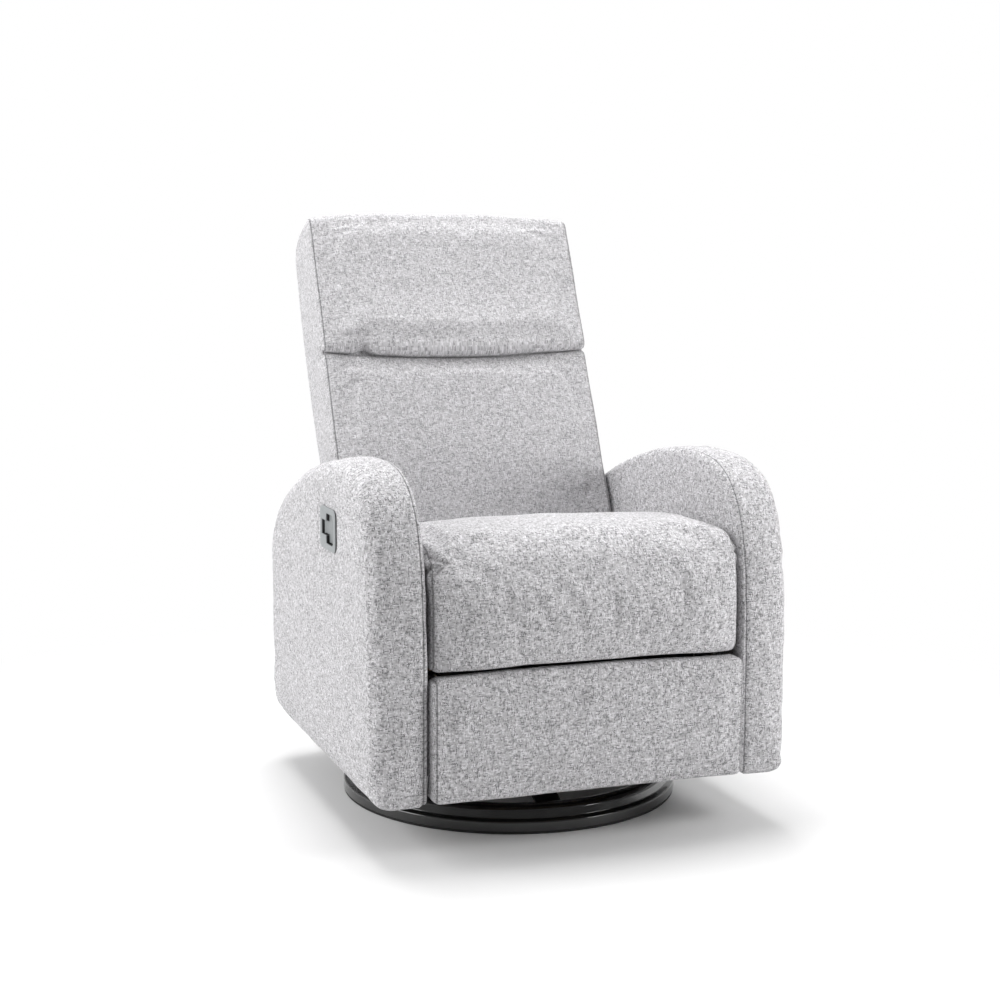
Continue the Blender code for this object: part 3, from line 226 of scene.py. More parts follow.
def make_linen(name, contrast):
    """Heathered linen: a plain weave whose threads are dark or white for a few millimetres."""
    s = Shader(name)
    cloth = s.node("ShaderNodeAttribute", attribute_name="weave").outputs["Vector"]
    split = s.node("ShaderNodeSeparateXYZ", {0: cloth})
    flat = s.pair(split.outputs[0], split.outputs[1])
    wobble = s.noise(flat, 130.0, 1.0)
    u = s.maths("ADD", split.outputs[0], s.maths("MULTIPLY", wobble, 0.0007))
    v = s.maths("ADD", split.outputs[1], s.maths("MULTIPLY", wobble, -0.0007))
    across, along = s.maths("DIVIDE", u, THREAD), s.maths("DIVIDE", v, THREAD)
    warp, weft = s.maths("FLOOR", across), s.maths("FLOOR", along)
    over = s.maths("PINGPONG", s.maths("ADD", warp, weft), 1.0)
    under = s.maths("SUBTRACT", 1.0, over)
    warp_place = s.pair(s.maths("MULTIPLY", warp, 7.31), s.maths("DIVIDE", v, SLUB), 3.0)
    weft_place = s.pair(s.maths("DIVIDE", u, SLUB), s.maths("MULTIPLY", weft, 7.31), 90.0)
    warp_tone, weft_tone = s.noise(warp_place, 1.0, 3.0, 0.6), s.noise(weft_place, 1.0, 3.0, 0.6)

    def flecks(low, high):
        """Threads whose tone is past a limit, fainter where they pass under the other set."""
        warps = s.maths("MULTIPLY", s.step(warp_tone, low, high), s.faded(over))
        wefts = s.maths("MULTIPLY", s.step(weft_tone, low, high), s.faded(under))
        return s.maths("MAXIMUM", warps, wefts)

    dark, white = flecks(0.535, 0.63), flecks(0.47, 0.37)
    heather = s.noise(flat, 26.0, 4.0, 0.6)
    body = s.mix(heather, tinted(0.44), tinted(0.54))
    colour = s.mix(s.maths("MULTIPLY", white, 0.75 * contrast), body, tinted(0.86))
    colour = s.mix(s.maths("MULTIPLY", dark, 0.82 * contrast), colour, tinted(0.11))
    seam = s.step(s.maths("ABSOLUTE", split.outputs[2]), 0.0017, 0.0004)
    colour = s.mix(s.maths("MULTIPLY", seam, 0.62), colour, tinted(0.08))
    hill_u = s.maths("SINE", s.maths("MULTIPLY", s.maths("FRACT", across), math.pi))
    hill_v = s.maths("SINE", s.maths("MULTIPLY", s.maths("FRACT", along), math.pi))
    warp_height = s.maths("MULTIPLY", hill_u, s.faded(hill_v))
    weft_height = s.maths("MULTIPLY", hill_v, s.faded(hill_u))
    fuzz = s.noise(flat, 2600.0, 2.0)
    thick = s.maths("MULTIPLY", s.maths("ADD", dark, white), 0.7)
    rough = s.maths("ADD", thick, s.maths("MULTIPLY", fuzz, 0.35))
    height = s.maths("ADD", s.blend(over, weft_height, warp_height), rough)
    height = s.maths("SUBTRACT", height, s.maths("MULTIPLY", seam, 3.0))
    s.bump(height, 0.00045, 0.8)
    s.set(colour=colour, rough=s.step(fuzz, 0.3, 0.7, 0.82, 0.98), sheen=0.10, sheen_rough=0.5, level=0.2)
    return s.material


def make_gloss_black():
    s = Shader("gloss_black_steel")
    place = s.place()
    s.set(colour=s.mix(s.noise(place, 30.0, 4.0), grey(0.008), grey(0.018)), metal=0.0, level=0.6)
    s.set(rough=s.step(s.noise(place, 14.0, 5.0), 0.35, 0.75, 0.10, 0.30), coat=0.6, coat_rough=0.06)
    s.bump(s.noise(place, 420.0, 2.0), 0.00008, 0.5)
    return s.material


def make_powder_black():
    s = Shader("powder_black_steel")
    place = s.place()
    s.set(colour=s.mix(s.noise(place, 22.0, 4.0), grey(0.014), grey(0.030)), rough=0.5, level=0.5)
    s.bump(s.noise(place, 900.0, 2.0), 0.00012, 0.6)
    return s.material


def make_zinc():
    s = Shader("zinc_plated_steel")
    place = s.place()
    mottle = s.noise(place, 60.0, 5.0, 0.6)
    s.set(colour=s.mix(mottle, (0.42, 0.43, 0.43, 1), (0.66, 0.66, 0.62, 1)), metal=1.0)
    s.set(rough=s.step(mottle, 0.3, 0.7, 0.26, 0.46))
    s.bump(s.noise(place, 350.0, 3.0), 0.00006, 0.6)
    return s.material


def make_plywood():
    s = Shader("plywood")
    place = s.node("ShaderNodeMapping", {"Vector": s.place(), "Scale": (4.0, 60.0, 60.0)}).outputs[0]
    grain = s.noise(place, 1.6, 6.0, 0.6)
    plies = s.node(
        "ShaderNodeTexWave",
        {"Vector": s.place(), "Scale": 105.0, "Distortion": 0.6, "Detail": 1.0},
        bands_direction="Z",
    ).outputs["Fac"]
    wood = s.mix(s.step(grain, 0.35, 0.65), (0.42, 0.27, 0.14, 1), (0.66, 0.48, 0.29, 1))
    s.set(colour=s.mix(s.maths("MULTIPLY", plies, 0.25), wood, (0.30, 0.18, 0.09, 1)), rough=0.7)
    s.bump(grain, 0.0003, 0.4)
    return s.material


def make_rubber():
    s = Shader("black_rubber")
    place = s.place()
    s.set(colour=s.mix(s.noise(place, 50.0, 3.0), grey(0.012), grey(0.030)), rough=0.8, level=0.3)
    s.bump(s.noise(place, 600.0, 3.0), 0.0002, 0.5)
    return s.material


def make_grey_plastic(name, well):
    """Moulded plastic, painted near black further in than well, a place on the x axis: painted shade for the shade
    inside the handle's cup.
    """
    s = Shader(name)
    place = s.place()
    colour = s.mix(s.noise(place, 25.0, 3.0), (0.225, 0.240, 0.245, 1), (0.265, 0.28, 0.285, 1))
    depth = s.node("ShaderNodeSeparateXYZ", {0: place}).outputs[0]
    # painted shade: past well the grey turns near black, for the shade inside the handle's cup
    s.set(colour=s.mix(s.step(depth, well, well + 0.0008), colour, grey(0.006)))
    s.set(rough=s.step(s.noise(place, 300.0, 2.0), 0.3, 0.7, 0.36, 0.50), level=0.5)
    s.bump(s.noise(place, 1500.0, 2.0), 0.00008, 0.5)
    return s.material


def make_webbing():
    s = Shader("black_webbing")
    place = s.node("ShaderNodeSeparateXYZ", {0: s.place()})
    ribs = [
        s.maths("SINE", s.maths("MULTIPLY", place.outputs[k], 2 * math.pi / 0.003)) for k in (0, 2)
    ]
    height = s.maths("MULTIPLY", ribs[0], ribs[1])
    tone = s.step(height, -0.6, 0.8)
    s.set(colour=s.mix(tone, grey(0.018), grey(0.050)), rough=0.85, sheen=0.1, level=0.3)
    s.bump(height, 0.0003, 0.7)
    return s.material


# Shapes. An outline is a closed list of (y, z) in side view.


def bezier(start, first, second, end, steps):
    """Points of a cubic curve, without its last one."""
    t = (np.arange(steps) / steps)[:, None]
    start, first, second, end = (np.array(p, float) for p in (start, first, second, end))
    curve = (1 - t) ** 3 * start + 3 * t * (1 - t) ** 2 * first + 3 * t * t * (1 - t) * second
    return [tuple(p) for p in curve + t**3 * end]


def rounded_box(low, high, radii, steps=6):
    """A rectangle whose corners have these radii, from its low front corner round by the rear."""
    corners = (
        ((low[0], low[1]), (1, 1), 180),
        ((high[0], low[1]), (-1, 1), 270),
        ((high[0], high[1]), (-1, -1), 0),
        ((low[0], high[1]), (1, -1), 90),
    )
    points = []
    for (corner, toward, turn), radius in zip(corners, radii):
        for i in range(steps + 1):
            a = math.radians(turn + 90 * i / steps)
            points.append(
                (
                    corner[0] + radius * (toward[0] + math.cos(a)),
                    corner[1] + radius * (toward[1] + math.sin(a)),
                )
            )
    return points


def spaced(outline, step):
    """The closed outline with points no further apart than step, for an even rim."""
    points = []
    for a, b in zip(outline, outline[1:] + outline[:1]):
        a, b = np.array(a, float), np.array(b, float)
        count = max(1, math.ceil(np.linalg.norm(b - a) / step))
        points += [tuple(a + (b - a) * i / count) for i in range(count)]
    return np.array([p for k, p in enumerate(points) if k == 0 or math.dist(p, points[k - 1]) > 1e-6])


def inset(points, distance):
    before, after = np.roll(points, 1, 0), np.roll(points, -1, 0)
    along = after - before
    along /= np.linalg.norm(along, axis=1)[:, None]
    inward = np.stack([-along[:, 1], along[:, 0]], 1)
    area = 0.5 * np.sum(points[:, 0] * after[:, 1] - points[:, 1] * after[:, 0])
    return points + inward * distance * (1 if area > 0 else -1)


def swept(name, outline, low_x, high_x, low_round, high_round, steps=5, shrink=0.0):
    """A closed body: the outline, drawn in by shrink, from low_x to high_x, with both rims rounded."""
    points = inset(spaced(outline, OUTLINE_STEP), shrink)
    stations = []
    for i in range(steps):
        a = math.radians(90 * i / steps)
        stations.append((low_x + low_round * (1 - math.cos(a)), low_round * (1 - math.sin(a))))
    stations += [(x, 0.0) for x in np.linspace(low_x + low_round, high_x - high_round, 24)]
    for i in range(1, steps + 1):
        a = math.radians(90 * i / steps)
        stations.append((high_x - high_round * (1 - math.sin(a)), high_round * (1 - math.cos(a))))
    mesh = bmesh.new()
    rings = [
        [mesh.verts.new((x, y, z)) for y, z in inset(points, by)] for x, by in stations
    ]
    count = len(points)
    for near, far in zip(rings, rings[1:]):
        for k in range(count):
            mesh.faces.new((near[k], near[(k + 1) % count], far[(k + 1) % count], far[k]))
    mesh.faces.new(rings[0])
    mesh.faces.new(rings[-1])
    bmesh.ops.recalc_face_normals(mesh, faces=mesh.faces)
    return to_object(name, mesh)


def to_object(name, mesh):
    data = bpy.data.meshes.new(name)
    mesh.to_mesh(data)
    mesh.free()
    obj = bpy.data.objects.new(name, data)
    bpy.context.scene.collection.objects.link(obj)
    return obj


def settle(obj):
    """Applies the object's modifiers."""
    graph = bpy.context.evaluated_depsgraph_get()
    data = bpy.data.meshes.new_from_object(obj.evaluated_get(graph))
    obj.modifiers.clear()
    old, obj.data = obj.data, data
    data.name = obj.name
    bpy.data.meshes.remove(old)
    return obj


def places(obj):
    flat = np.empty(len(obj.data.vertices) * 3, np.float32)
    obj.data.vertices.foreach_get("co", flat)
    return flat.reshape(-1, 3).astype(float)


def directions(obj):
    flat = np.empty(len(obj.data.vertices) * 3, np.float32)
    obj.data.vertices.foreach_get("normal", flat)
    return flat.reshape(-1, 3).astype(float)


def put_places(obj, co):
    obj.data.vertices.foreach_set("co", co.astype(np.float32).ravel())
    obj.data.update()


def remesh(obj, voxel=VOXEL, smooth=4):
    modifier = obj.modifiers.new("Remesh", "REMESH")
    modifier.mode = "VOXEL"
    modifier.voxel_size = voxel
    modifier.adaptivity = 0.0
    settle(obj)
    modifier = obj.modifiers.new("Smooth", "SMOOTH")
    modifier.factor = 0.5
    modifier.iterations = smooth
    return settle(obj)


def subdivide(obj):
    modifier = obj.modifiers.new("Subdivision", "SUBSURF")
    modifier.levels = modifier.render_levels = 1
    return settle(obj)


def cut_box(obj, low, high):
    """Sinks a box-shaped well into the object."""
    mesh = bmesh.new()
    bmesh.ops.create_cube(mesh, size=1.0)
    for vert in mesh.verts:
        vert.co = [a + (b - a) * (c + 0.5) for a, b, c in zip(low, high, vert.co)]
    cutter = to_object("cutter", mesh)
    modifier = obj.modifiers.new("Well", "BOOLEAN")
    modifier.operation = "DIFFERENCE"
    modifier.object = cutter
    settle(obj)
    bpy.data.objects.remove(cutter)


def inflate(obj, held, cap, slack=0.02, pressure=PRESSURE):
    """Blows the cloth out from its seams, no point further than cap. held is 1 where it is fixed."""
    rest = places(obj)
    group = obj.vertex_groups.new(name="held")
    weights = np.round(np.clip(held, 0, 1), 1)
    for level in np.unique(weights):
        if level > 0:
            members = [int(i) for i in np.flatnonzero(weights == level)]
            group.add(members, float(level), "REPLACE")
    modifier = obj.modifiers.new("Cloth", "CLOTH")
    settings = modifier.settings
    settings.quality = 4
    settings.mass = 0.35
    settings.tension_stiffness = settings.compression_stiffness = 12
    settings.shear_stiffness = 4
    settings.bending_stiffness = 1.2
    settings.shrink_min = -slack
    settings.use_pressure = True
    settings.uniform_pressure_force = pressure
    settings.vertex_group_mass = "held"
    settings.effector_weights.gravity = 0
    modifier.point_cache.frame_start = 1
    modifier.point_cache.frame_end = CLOTH_FRAMES
    scene = bpy.context.scene
    for number in range(1, CLOTH_FRAMES + 1):
        scene.frame_set(number)
    settle(obj)
    obj.vertex_groups.clear()
    moved = places(obj) - rest
    size = np.linalg.norm(moved, axis=1)
    size[size == 0] = 1
    put_places(obj, rest + moved * np.minimum(1, cap / size)[:, None])
    scene.frame_set(1)


def ripple(obj, amount, scale, seed):
    """Slow unevenness of stuffing under cloth, along the surface's own direction."""
    co, out = places(obj), directions(obj)
    shift = Vector((seed * 3.7, seed * 1.9, seed * 5.3))
    lift = np.array([noise.noise(Vector(p) / scale + shift) for p in co])
    put_places(obj, co + out * (lift * amount)[:, None])


def near(value, centre, width):
    return np.exp(-(((value - centre) / width) ** 2))


def smooth_step(value, low, high):
    t = np.clip((value - low) / (high - low), 0, 1)
    return t * t * (3 - 2 * t)


def lay_cloth(obj, outline, seam, shift=0.0):
    """Writes each corner's place on the cloth, in metres: across and along the outline, or flat on
    the sides, and third its distance to the nearest seam."""
    points = spaced(outline, OUTLINE_STEP)
    ahead = np.roll(points, -1, 0)
    pieces = ahead - points
    lengths = np.linalg.norm(pieces, axis=1)
    starts = np.concatenate([[0], np.cumsum(lengths)[:-1]])
    total = lengths.sum()
    co = places(obj)
    along = np.empty(len(co))
    for first in range(0, len(co), BATCH):
        flat = co[first : first + BATCH, None, 1:]
        share = np.clip(((flat - points) * pieces).sum(2) / (lengths**2), 0, 1)
        gap = np.linalg.norm(flat - points - share[..., None] * pieces, axis=2)
        best = gap.argmin(1)
        row = np.arange(len(best))
        along[first : first + BATCH] = starts[best] + share[row, best] * lengths[best]
    data = obj.data
    corners = np.empty(len(data.loops), np.int32)
    data.loops.foreach_get("vertex_index", corners)
    totals = np.empty(len(data.polygons), np.int32)
    data.polygons.foreach_get("loop_total", totals)
    normals = np.empty(len(data.polygons) * 3, np.float32)
    data.polygons.foreach_get("normal", normals)
    face = np.repeat(np.arange(len(totals)), totals)
    firsts = np.concatenate([[0], np.cumsum(totals)[:-1]])
    s = along[corners]
    spread = np.maximum.reduceat(s, firsts) - np.minimum.reduceat(s, firsts)
    s = np.where((spread[face] > total / 2) & (s < total / 2), s + total, s)
    on_side = np.abs(normals.reshape(-1, 3)[face, 0]) > FACES_SIDE
    at = co[corners]
    u = np.where(on_side, at[:, 1], at[:, 0])
    v = np.where(on_side, at[:, 2] + 3.0, s)
    made = data.attributes.new("weave", "FLOAT_VECTOR", "CORNER")
    packed = np.stack([u + shift, v + shift, seam[corners]], 1).astype(np.float32)
    made.data.foreach_set("vector", packed.ravel())


def finish_cloth(obj, material, body, nodes):
    obj.data.materials.clear()
    obj.data.materials.append(material)
    obj.data.shade_smooth()
    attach(obj, body)
    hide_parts(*nodes)


# The arms


def arm_outline():
    front, rear, low, top = ARM_LOW.y, ARM_HIGH.y, ARM_LOW.z, ARM_HIGH.z
    rise, crest = top - low, front + 0.215
    shoulder = (rear - 0.130, top - 0.155 * rise)
    tail = (rear, low + 0.56 * rise)
    start = (front, low + 0.39 * rise)
    foot = (rear - 0.004, low + 0.055)
    points = [(front, low + 0.012), (front, low + 0.2)]
    points += bezier(start, (front, start[1] + 0.26), (front + 0.06, top), (crest, top), 28)
    over = (crest + 0.14, top), (shoulder[0] - 0.1, shoulder[1] + 0.045)
    points += bezier((crest, top), *over, shoulder, 16)
    down = (shoulder[0] + 0.07, shoulder[1] - 0.033), (rear, tail[1] + 0.08)
    points += bezier(shoulder, *down, tail, 14)
    points += bezier(foot, (foot[0], low + 0.02), (rear - 0.035, low), (rear - 0.09, low), 10)
    points += [(rear - 0.09, low), (front + 0.2, low), (front + 0.012, low)]
    points.append((front + 0.0035, low + 0.0035))
    return points


def make_arm(side, name, linen):
    outline = arm_outline()
    inner, outer = ARM_LOW.x, ARM_HIGH.x
    low, high = (inner, outer - 0.002) if side > 0 else (-outer + 0.002, -inner)
    rounds = (ARM_ROUND_IN, ARM_ROUND_OUT) if side > 0 else (ARM_ROUND_OUT, ARM_ROUND_IN)
    arm = swept(f"arm_cover_{name}", outline, low, high, *rounds, shrink=ARM_SHRINK)
    remesh(arm, VOXEL, 2)
    co = places(arm)
    across = np.abs(co[:, 0])
    seam = smooth_step(across, inner + 0.030, inner + 0.004)
    foot = smooth_step(co[:, 2], ARM_LOW.z + 0.03, ARM_LOW.z + 0.008)
    inflate(arm, np.maximum(seam, foot), 0.0035, 0.01, GENTLE)
    subdivide(arm)
    ripple(arm, 0.0013, 0.085, 1 + side)
    # the seam that joins the inner panel to the band over the arm
    co, out = places(arm), directions(arm)
    edge = np.abs(co[:, 0]) - (inner + ARM_SEAM)
    facing = 1 - np.abs(out[:, 0])
    groove = 0.0028 * near(edge, 0, 0.0032) * np.clip(facing * 2, 0, 1)
    put_places(arm, co - out * groove[:, None])
    keep_inside(arm, side)
    if side < 0:
        margin = Vector((0, BEZEL_WELL, BEZEL_WELL))
        low_corner = BEZEL_LOW + margin - Vector((0.01, 0, 0))
        high_corner = BEZEL_HIGH - margin + Vector((0.0008, 0, 0))
        cut_box(arm, low_corner, high_corner)
    from_seam = np.abs(places(arm)[:, 0]) - (inner + ARM_SEAM)
    lay_cloth(arm, outline, from_seam, shift=0.37 * (1 + side))
    finish_cloth(arm, linen, "carriage", [f"arm_upholstery_{name}"])


def keep_inside(arm, side):
    """Keeps an arm off the seat and back, and its outer face where the handle meets it."""
    co = places(arm)
    across = np.abs(co[:, 0])
    across = np.clip(across, ARM_LOW.x, ARM_HIGH.x + 0.003)
    if side < 0:
        middle = (BEZEL_LOW + BEZEL_HIGH) / 2
        size = (BEZEL_HIGH - BEZEL_LOW) / 2
        margin = 0.012
        beside = np.maximum(
            np.abs(co[:, 1] - middle.y) / (size.y + margin),
            np.abs(co[:, 2] - middle.z) / (size.z + margin),
        )
        flat = smooth_step(beside, 1.25, 0.95) * (across > ARM_HIGH.x - 0.02)
        across = across * (1 - flat) + (ARM_HIGH.x - 0.0004) * flat
    co[:, 0] = np.sign(side) * across
    put_places(arm, co)


# The seat and the footrest


def seat_outline():
    seam = SEAT_LOW.z + 0.001
    floor, crown = SEAT_LOW.z + 0.039, SEAT_LOW.z + 0.203
    back_face = HINGE.y - 0.031 / math.cos(BACK_TILT) + 0.050 * math.tan(BACK_TILT)
    rear = (back_face - 0.006, SEAT_LOW.z + 0.148)
    low_rear = HINGE.y - 0.070
    face, roll = (FRONT + 0.008, seam + 0.015), (FRONT + 0.070, crown - 0.003)
    points = [(FRONT + 0.0655, seam), (FRONT + 0.026, seam)]
    points += bezier((FRONT + 0.020, seam), (FRONT + 0.012, seam), (FRONT + 0.009, seam + 0.005), face, 4)
    points += bezier(face, (FRONT - 0.003, seam + 0.080), (FRONT - 0.006, crown - 0.012), roll, 24)
    points += bezier(roll, (FRONT + 0.130, crown + 0.005), (FRONT + 0.330, crown + 0.002), rear, 22)
    return points + [rear, (low_rear, floor + 0.10), (low_rear, floor), (FRONT + 0.0655, floor)]


def make_seat(linen):
    outline = seat_outline()
    half = SEAT_HIGH.x
    seat = swept("seat_cover", outline, -half, half, 0.010, 0.010)
    remesh(seat, VOXEL, 2)
    rim = smooth_step(np.abs(places(seat)[:, 0]), half - 0.050, half - 0.008)
    co = places(seat)
    low = smooth_step(co[:, 2], SEAT_LOW.z + 0.045, SEAT_LOW.z + 0.010)
    under = smooth_step(co[:, 1], FRONT + 0.05, FRONT + 0.06) * (co[:, 2] < 0.36)
    rear = smooth_step(co[:, 1], HINGE.y - 0.085, HINGE.y - 0.065)
    inflate(seat, np.maximum.reduce([rim, low, under, rear]), 0.010, 0.03)
    subdivide(seat)
    crown_seat(seat, half)
    ripple(seat, 0.0022, 0.085, 4)
    gather(seat, half)
    co = places(seat)
    co[:, 0] = np.clip(co[:, 0], -half - 0.0012, half + 0.0012)
    co[:, 1] = np.maximum(co[:, 1], FRONT - 0.010)
    hidden = (co[:, 1] > FRONT + 0.06) & (co[:, 2] < 0.36)
    co[hidden, 2] = np.maximum(co[hidden, 2], SEAT_LOW.z + 0.0387)
    co[:, 2] = np.maximum(co[:, 2], SEAT_LOW.z + 0.0005)
    put_places(seat, co)
    lay_cloth(seat, outline, half - 0.006 - np.abs(places(seat)[:, 0]), shift=1.1)
    finish_cloth(seat, linen, "seat", ["seat_cushion"])


def crown_seat(seat, half):
    """The seat is fullest in the middle of its front half, and its sides pull in below the front roll."""
    co = places(seat)
    share = np.clip(np.abs(co[:, 0]) / half, 0, 1)
    top = smooth_step(co[:, 2], SEAT_LOW.z + 0.10, SEAT_LOW.z + 0.18)
    hollow = smooth_step(co[:, 1], FRONT + 0.22, HINGE.y - 0.08)
    co[:, 2] += top * (0.005 * (1 - share**2) * (1 - hollow) - 0.022 * hollow * share**2)
    co[:, 1] += 0.026 * share**6 * smooth_step(co[:, 1], FRONT + 0.12, FRONT + 0.01)
    co[:, 2] += SEAM_ARCH * (1 - share**2) * seam_share(co, SEAT_LOW.z + 0.05, SEAT_LOW.z + 0.005)
    height = np.clip((co[:, 2] - SEAT_LOW.z) / (SEAT_HIGH.z - SEAT_LOW.z - 0.02), 0, 1)
    pull = 0.0040 * np.sin(math.pi * height) * smooth_step(share, 0.80, 1.0)
    co[:, 0] -= np.sign(co[:, 0]) * pull * smooth_step(co[:, 1], FRONT + 0.16, FRONT + 0.08)
    put_places(seat, co)


def seam_share(co, far, close):
    """1 at the edge between the seat and the footrest, at their front only, and 0 away from it."""
    return smooth_step(co[:, 2], far, close) * smooth_step(co[:, 1], FRONT + 0.055, FRONT + 0.030)


def gather(seat, half):
    """The tucks where the front roll's cloth turns into each side, and the seam along the side panel."""
    co, out = places(seat), directions(seat)
    for side, strength in ((-1, 1.0), (1, 0.6)):
        corner_at = np.array([side * (half - 0.004), FRONT + 0.036, SEAT_LOW.z + 0.176])
        gap = co - corner_at
        far = np.linalg.norm(gap, axis=1)
        turn = np.arctan2(gap[:, 2], gap[:, 1])
        folds = np.cos(turn * 7.0 + 1.0) * 0.0042 * strength * np.exp(-((far / 0.034) ** 2))
        folds *= smooth_step(far, 0.004, 0.016)
        co = co + out * folds[:, None]
    seam = near(np.abs(co[:, 0]), half - 0.006, 0.0035) * (co[:, 1] < HINGE.y - 0.05)
    facing = np.clip(1.3 * np.hypot(out[:, 1], out[:, 2]), 0, 1)
    put_places(seat, co - out * (0.0020 * seam * facing)[:, None])


def make_footrest(linen):
    low, high = FOOT_LOW, FOOT_HIGH
    wrap = BOARD_HIGH.y - 0.001  # the cloth is drawn over the board's edges, and its rear stays bare
    step = BOARD_HIGH.z + 0.001
    outline = rounded_box((low.y + 0.001, low.z), (wrap, step), (0.012, 0.003, 0.001, 0.009))
    # the last corner, the pad's own, is higher than the board's
    outline[-7:] = [(y, z + high.z - step) for y, z in outline[-7:]]
    outline.insert(-7, (high.y, high.z))
    pad = swept("footrest_cover", outline, low.x, high.x, 0.010, 0.010)
    remesh(pad, FINE_VOXEL, 2)
    co = places(pad)
    rear = smooth_step(co[:, 1], high.y - 0.012, high.y - 0.004)
    rim = smooth_step(np.abs(co[:, 0]), high.x - 0.040, high.x - 0.006)
    foot = smooth_step(co[:, 2], low.z + 0.040, low.z + 0.005)
    top = smooth_step(co[:, 2], high.z - 0.035, high.z - 0.005)
    inflate(pad, np.maximum.reduce([rear, rim, foot, top]), 0.006, 0.02)
    subdivide(pad)
    ripple(pad, 0.0013, 0.08, 6)
    co = places(pad)
    co[:, 0] = np.clip(co[:, 0], low.x - 0.001, high.x + 0.001)
    co[:, 1] = np.clip(co[:, 1], FRONT - 0.004, wrap)
    co[:, 2] = np.clip(co[:, 2], low.z - 0.002, high.z + 0.0005)
    share = np.abs(co[:, 0]) / high.x
    edge = seam_share(-co * (1, -1, 1), -high.z + 0.05, -high.z + 0.005)
    co[:, 2] += SEAM_ARCH * (1 - share**2) * edge
    put_places(pad, co)
    lay_cloth(pad, outline, high.x - 0.005 - np.abs(co[:, 0]), shift=2.3)
    finish_cloth(pad, linen, "footrest", ["footrest_pad"])


# The back, made in its own frame: depth to the rear of the hinge, height along the back


def lean(obj):
    """From the back's own frame to the chair's."""
    co = places(obj)
    c, s = math.cos(BACK_TILT), math.sin(BACK_TILT)
    y, z = co[:, 1].copy(), co[:, 2].copy()
    co[:, 1] = HINGE.y + y * c + z * s
    co[:, 2] = HINGE.z - y * s + z * c
    put_places(obj, co)


def make_back(linen):
    half = BACK_HALF
    outline = [(-0.022, BACK_START), (FLAP_DEPTH, BACK_START), (FLAP_DEPTH, FLAP_LOW)]
    outline += [(FLAP_DEPTH + 0.012, FLAP_LOW), (0.070, BACK_START)]
    outline += bezier((0.070, BACK_START), (0.104, 0.2925), (0.124, 0.455), (0.0955, 0.650), 22)
    outline += bezier((0.0955, 0.650), (0.090, 0.689), (0.060, BACK_TOP), (0.020, BACK_TOP), 14)
    outline += [(0.020, BACK_TOP), (-0.008, BACK_TOP)]
    outline += bezier((-0.012, BACK_TOP), (-0.020, 0.698), (-0.022, 0.692), (-0.022, 0.684), 5)
    shell = swept("back_shell", outline, -half, half, 0.010, 0.010, shrink=0.002)
    remesh(shell, VOXEL, 2)
    co = places(shell)
    rim = smooth_step(np.abs(co[:, 0]), half - 0.050, half - 0.008)
    fore = smooth_step(co[:, 1], 0.005, -0.016)
    ends = np.maximum(smooth_step(co[:, 2], 0.07, 0.035), smooth_step(co[:, 2], 0.65, 0.69))
    inflate(shell, np.maximum.reduce([rim, fore, ends]), 0.005, 0.01, GENTLE)
    subdivide(shell)
    ripple(shell, 0.0013, 0.09, 8)
    arch(shell)
    co = places(shell)
    widest = np.where(co[:, 2] < BACK_START - 0.003, FLAP_HALF, half + 0.001)
    co[:, 0] = np.clip(co[:, 0], -widest, widest)
    put_places(shell, co)
    lay_cloth(shell, outline, half - 0.007 - np.abs(co[:, 0]), shift=3.1)
    lean(shell)
    finish_cloth(shell, linen, "back", ["back_outer_cover"])

    low, high = BACK_START + 0.002, CREASE - 0.001
    outline = rounded_box((-0.0335, low), (0.004, high), (0.012, 0.003, 0.003, 0.013))
    lower = back_pad("back_panel_cover", outline, low, high)
    co = places(lower)
    co[:, 1] -= 0.007 * fullness(co, low, high) * smooth_step(co[:, 2], 0.06, 0.20)
    beside_seat = smooth_step(co[:, 2], 0.22, 0.06)
    co[:, 1] = np.maximum(co[:, 1], -0.034 - 0.014 * (1 - beside_seat))
    put_places(lower, co)
    hang(lower)
    lay_cloth(lower, outline, panel_seam(co), shift=4.7)
    lean(lower)
    finish_cloth(lower, linen, "back", ["back_cushion"])

    low, high = CREASE + 0.002, 0.6985
    outline = rounded_box((-0.041, low), (0.004, high), (0.013, 0.003, 0.003, 0.020))
    head = back_pad("head_pillow", outline, low, high)
    co = places(head)
    fore = smooth_step(co[:, 1], -0.012, -0.030)
    rolled = near(co[:, 2], low + 0.026, 0.050) * (1 - (co[:, 0] / BACK_HALF) ** 6)
    co[:, 1] -= 0.012 * rolled * fore
    co[:, 2] -= 0.006 * fore * smooth_step(co[:, 2], low + 0.050, low + 0.004)
    # the pinch in the crease on the sitter's right
    pinch = near(co[:, 0], -0.190, 0.014) * near(co[:, 2], low - 0.004, 0.016)
    co[:, 2] += 0.010 * pinch
    co[:, 1] += 0.012 * pinch * (co[:, 1] < 0)
    put_places(head, co)
    hang(head)
    arch(head)
    lay_cloth(head, outline, panel_seam(co), shift=5.9)
    lean(head)
    finish_cloth(head, linen, "back", ["head_cushion"])


def back_pad(name, outline, low, high):
    """A pad on the front of the back, blown up between its seams."""
    pad = swept(name, outline, -BACK_HALF + 0.001, BACK_HALF - 0.001, 0.009, 0.009)
    remesh(pad, FINE_VOXEL, 2)
    inflate(pad, pillow_held(places(pad), low, high), 0.008, 0.03)
    subdivide(pad)
    ripple(pad, 0.0020, 0.09, 10 + high)
    co = places(pad)
    co[:, 0] = np.clip(co[:, 0], -BACK_HALF - 0.001, BACK_HALF + 0.001)
    put_places(pad, co)
    return pad


def fullness(co, low, high):
    """How far a pad's front face is from its edges, from 0 at them to 1 over its middle."""
    across = 1 - np.clip(np.abs(co[:, 0]) / BACK_HALF, 0, 1) ** 4
    up = np.clip((co[:, 2] - low) / (high - low), 0, 1)
    return across * (1 - (2 * up - 1) ** 6) * smooth_step(co[:, 1], -0.012, -0.030)


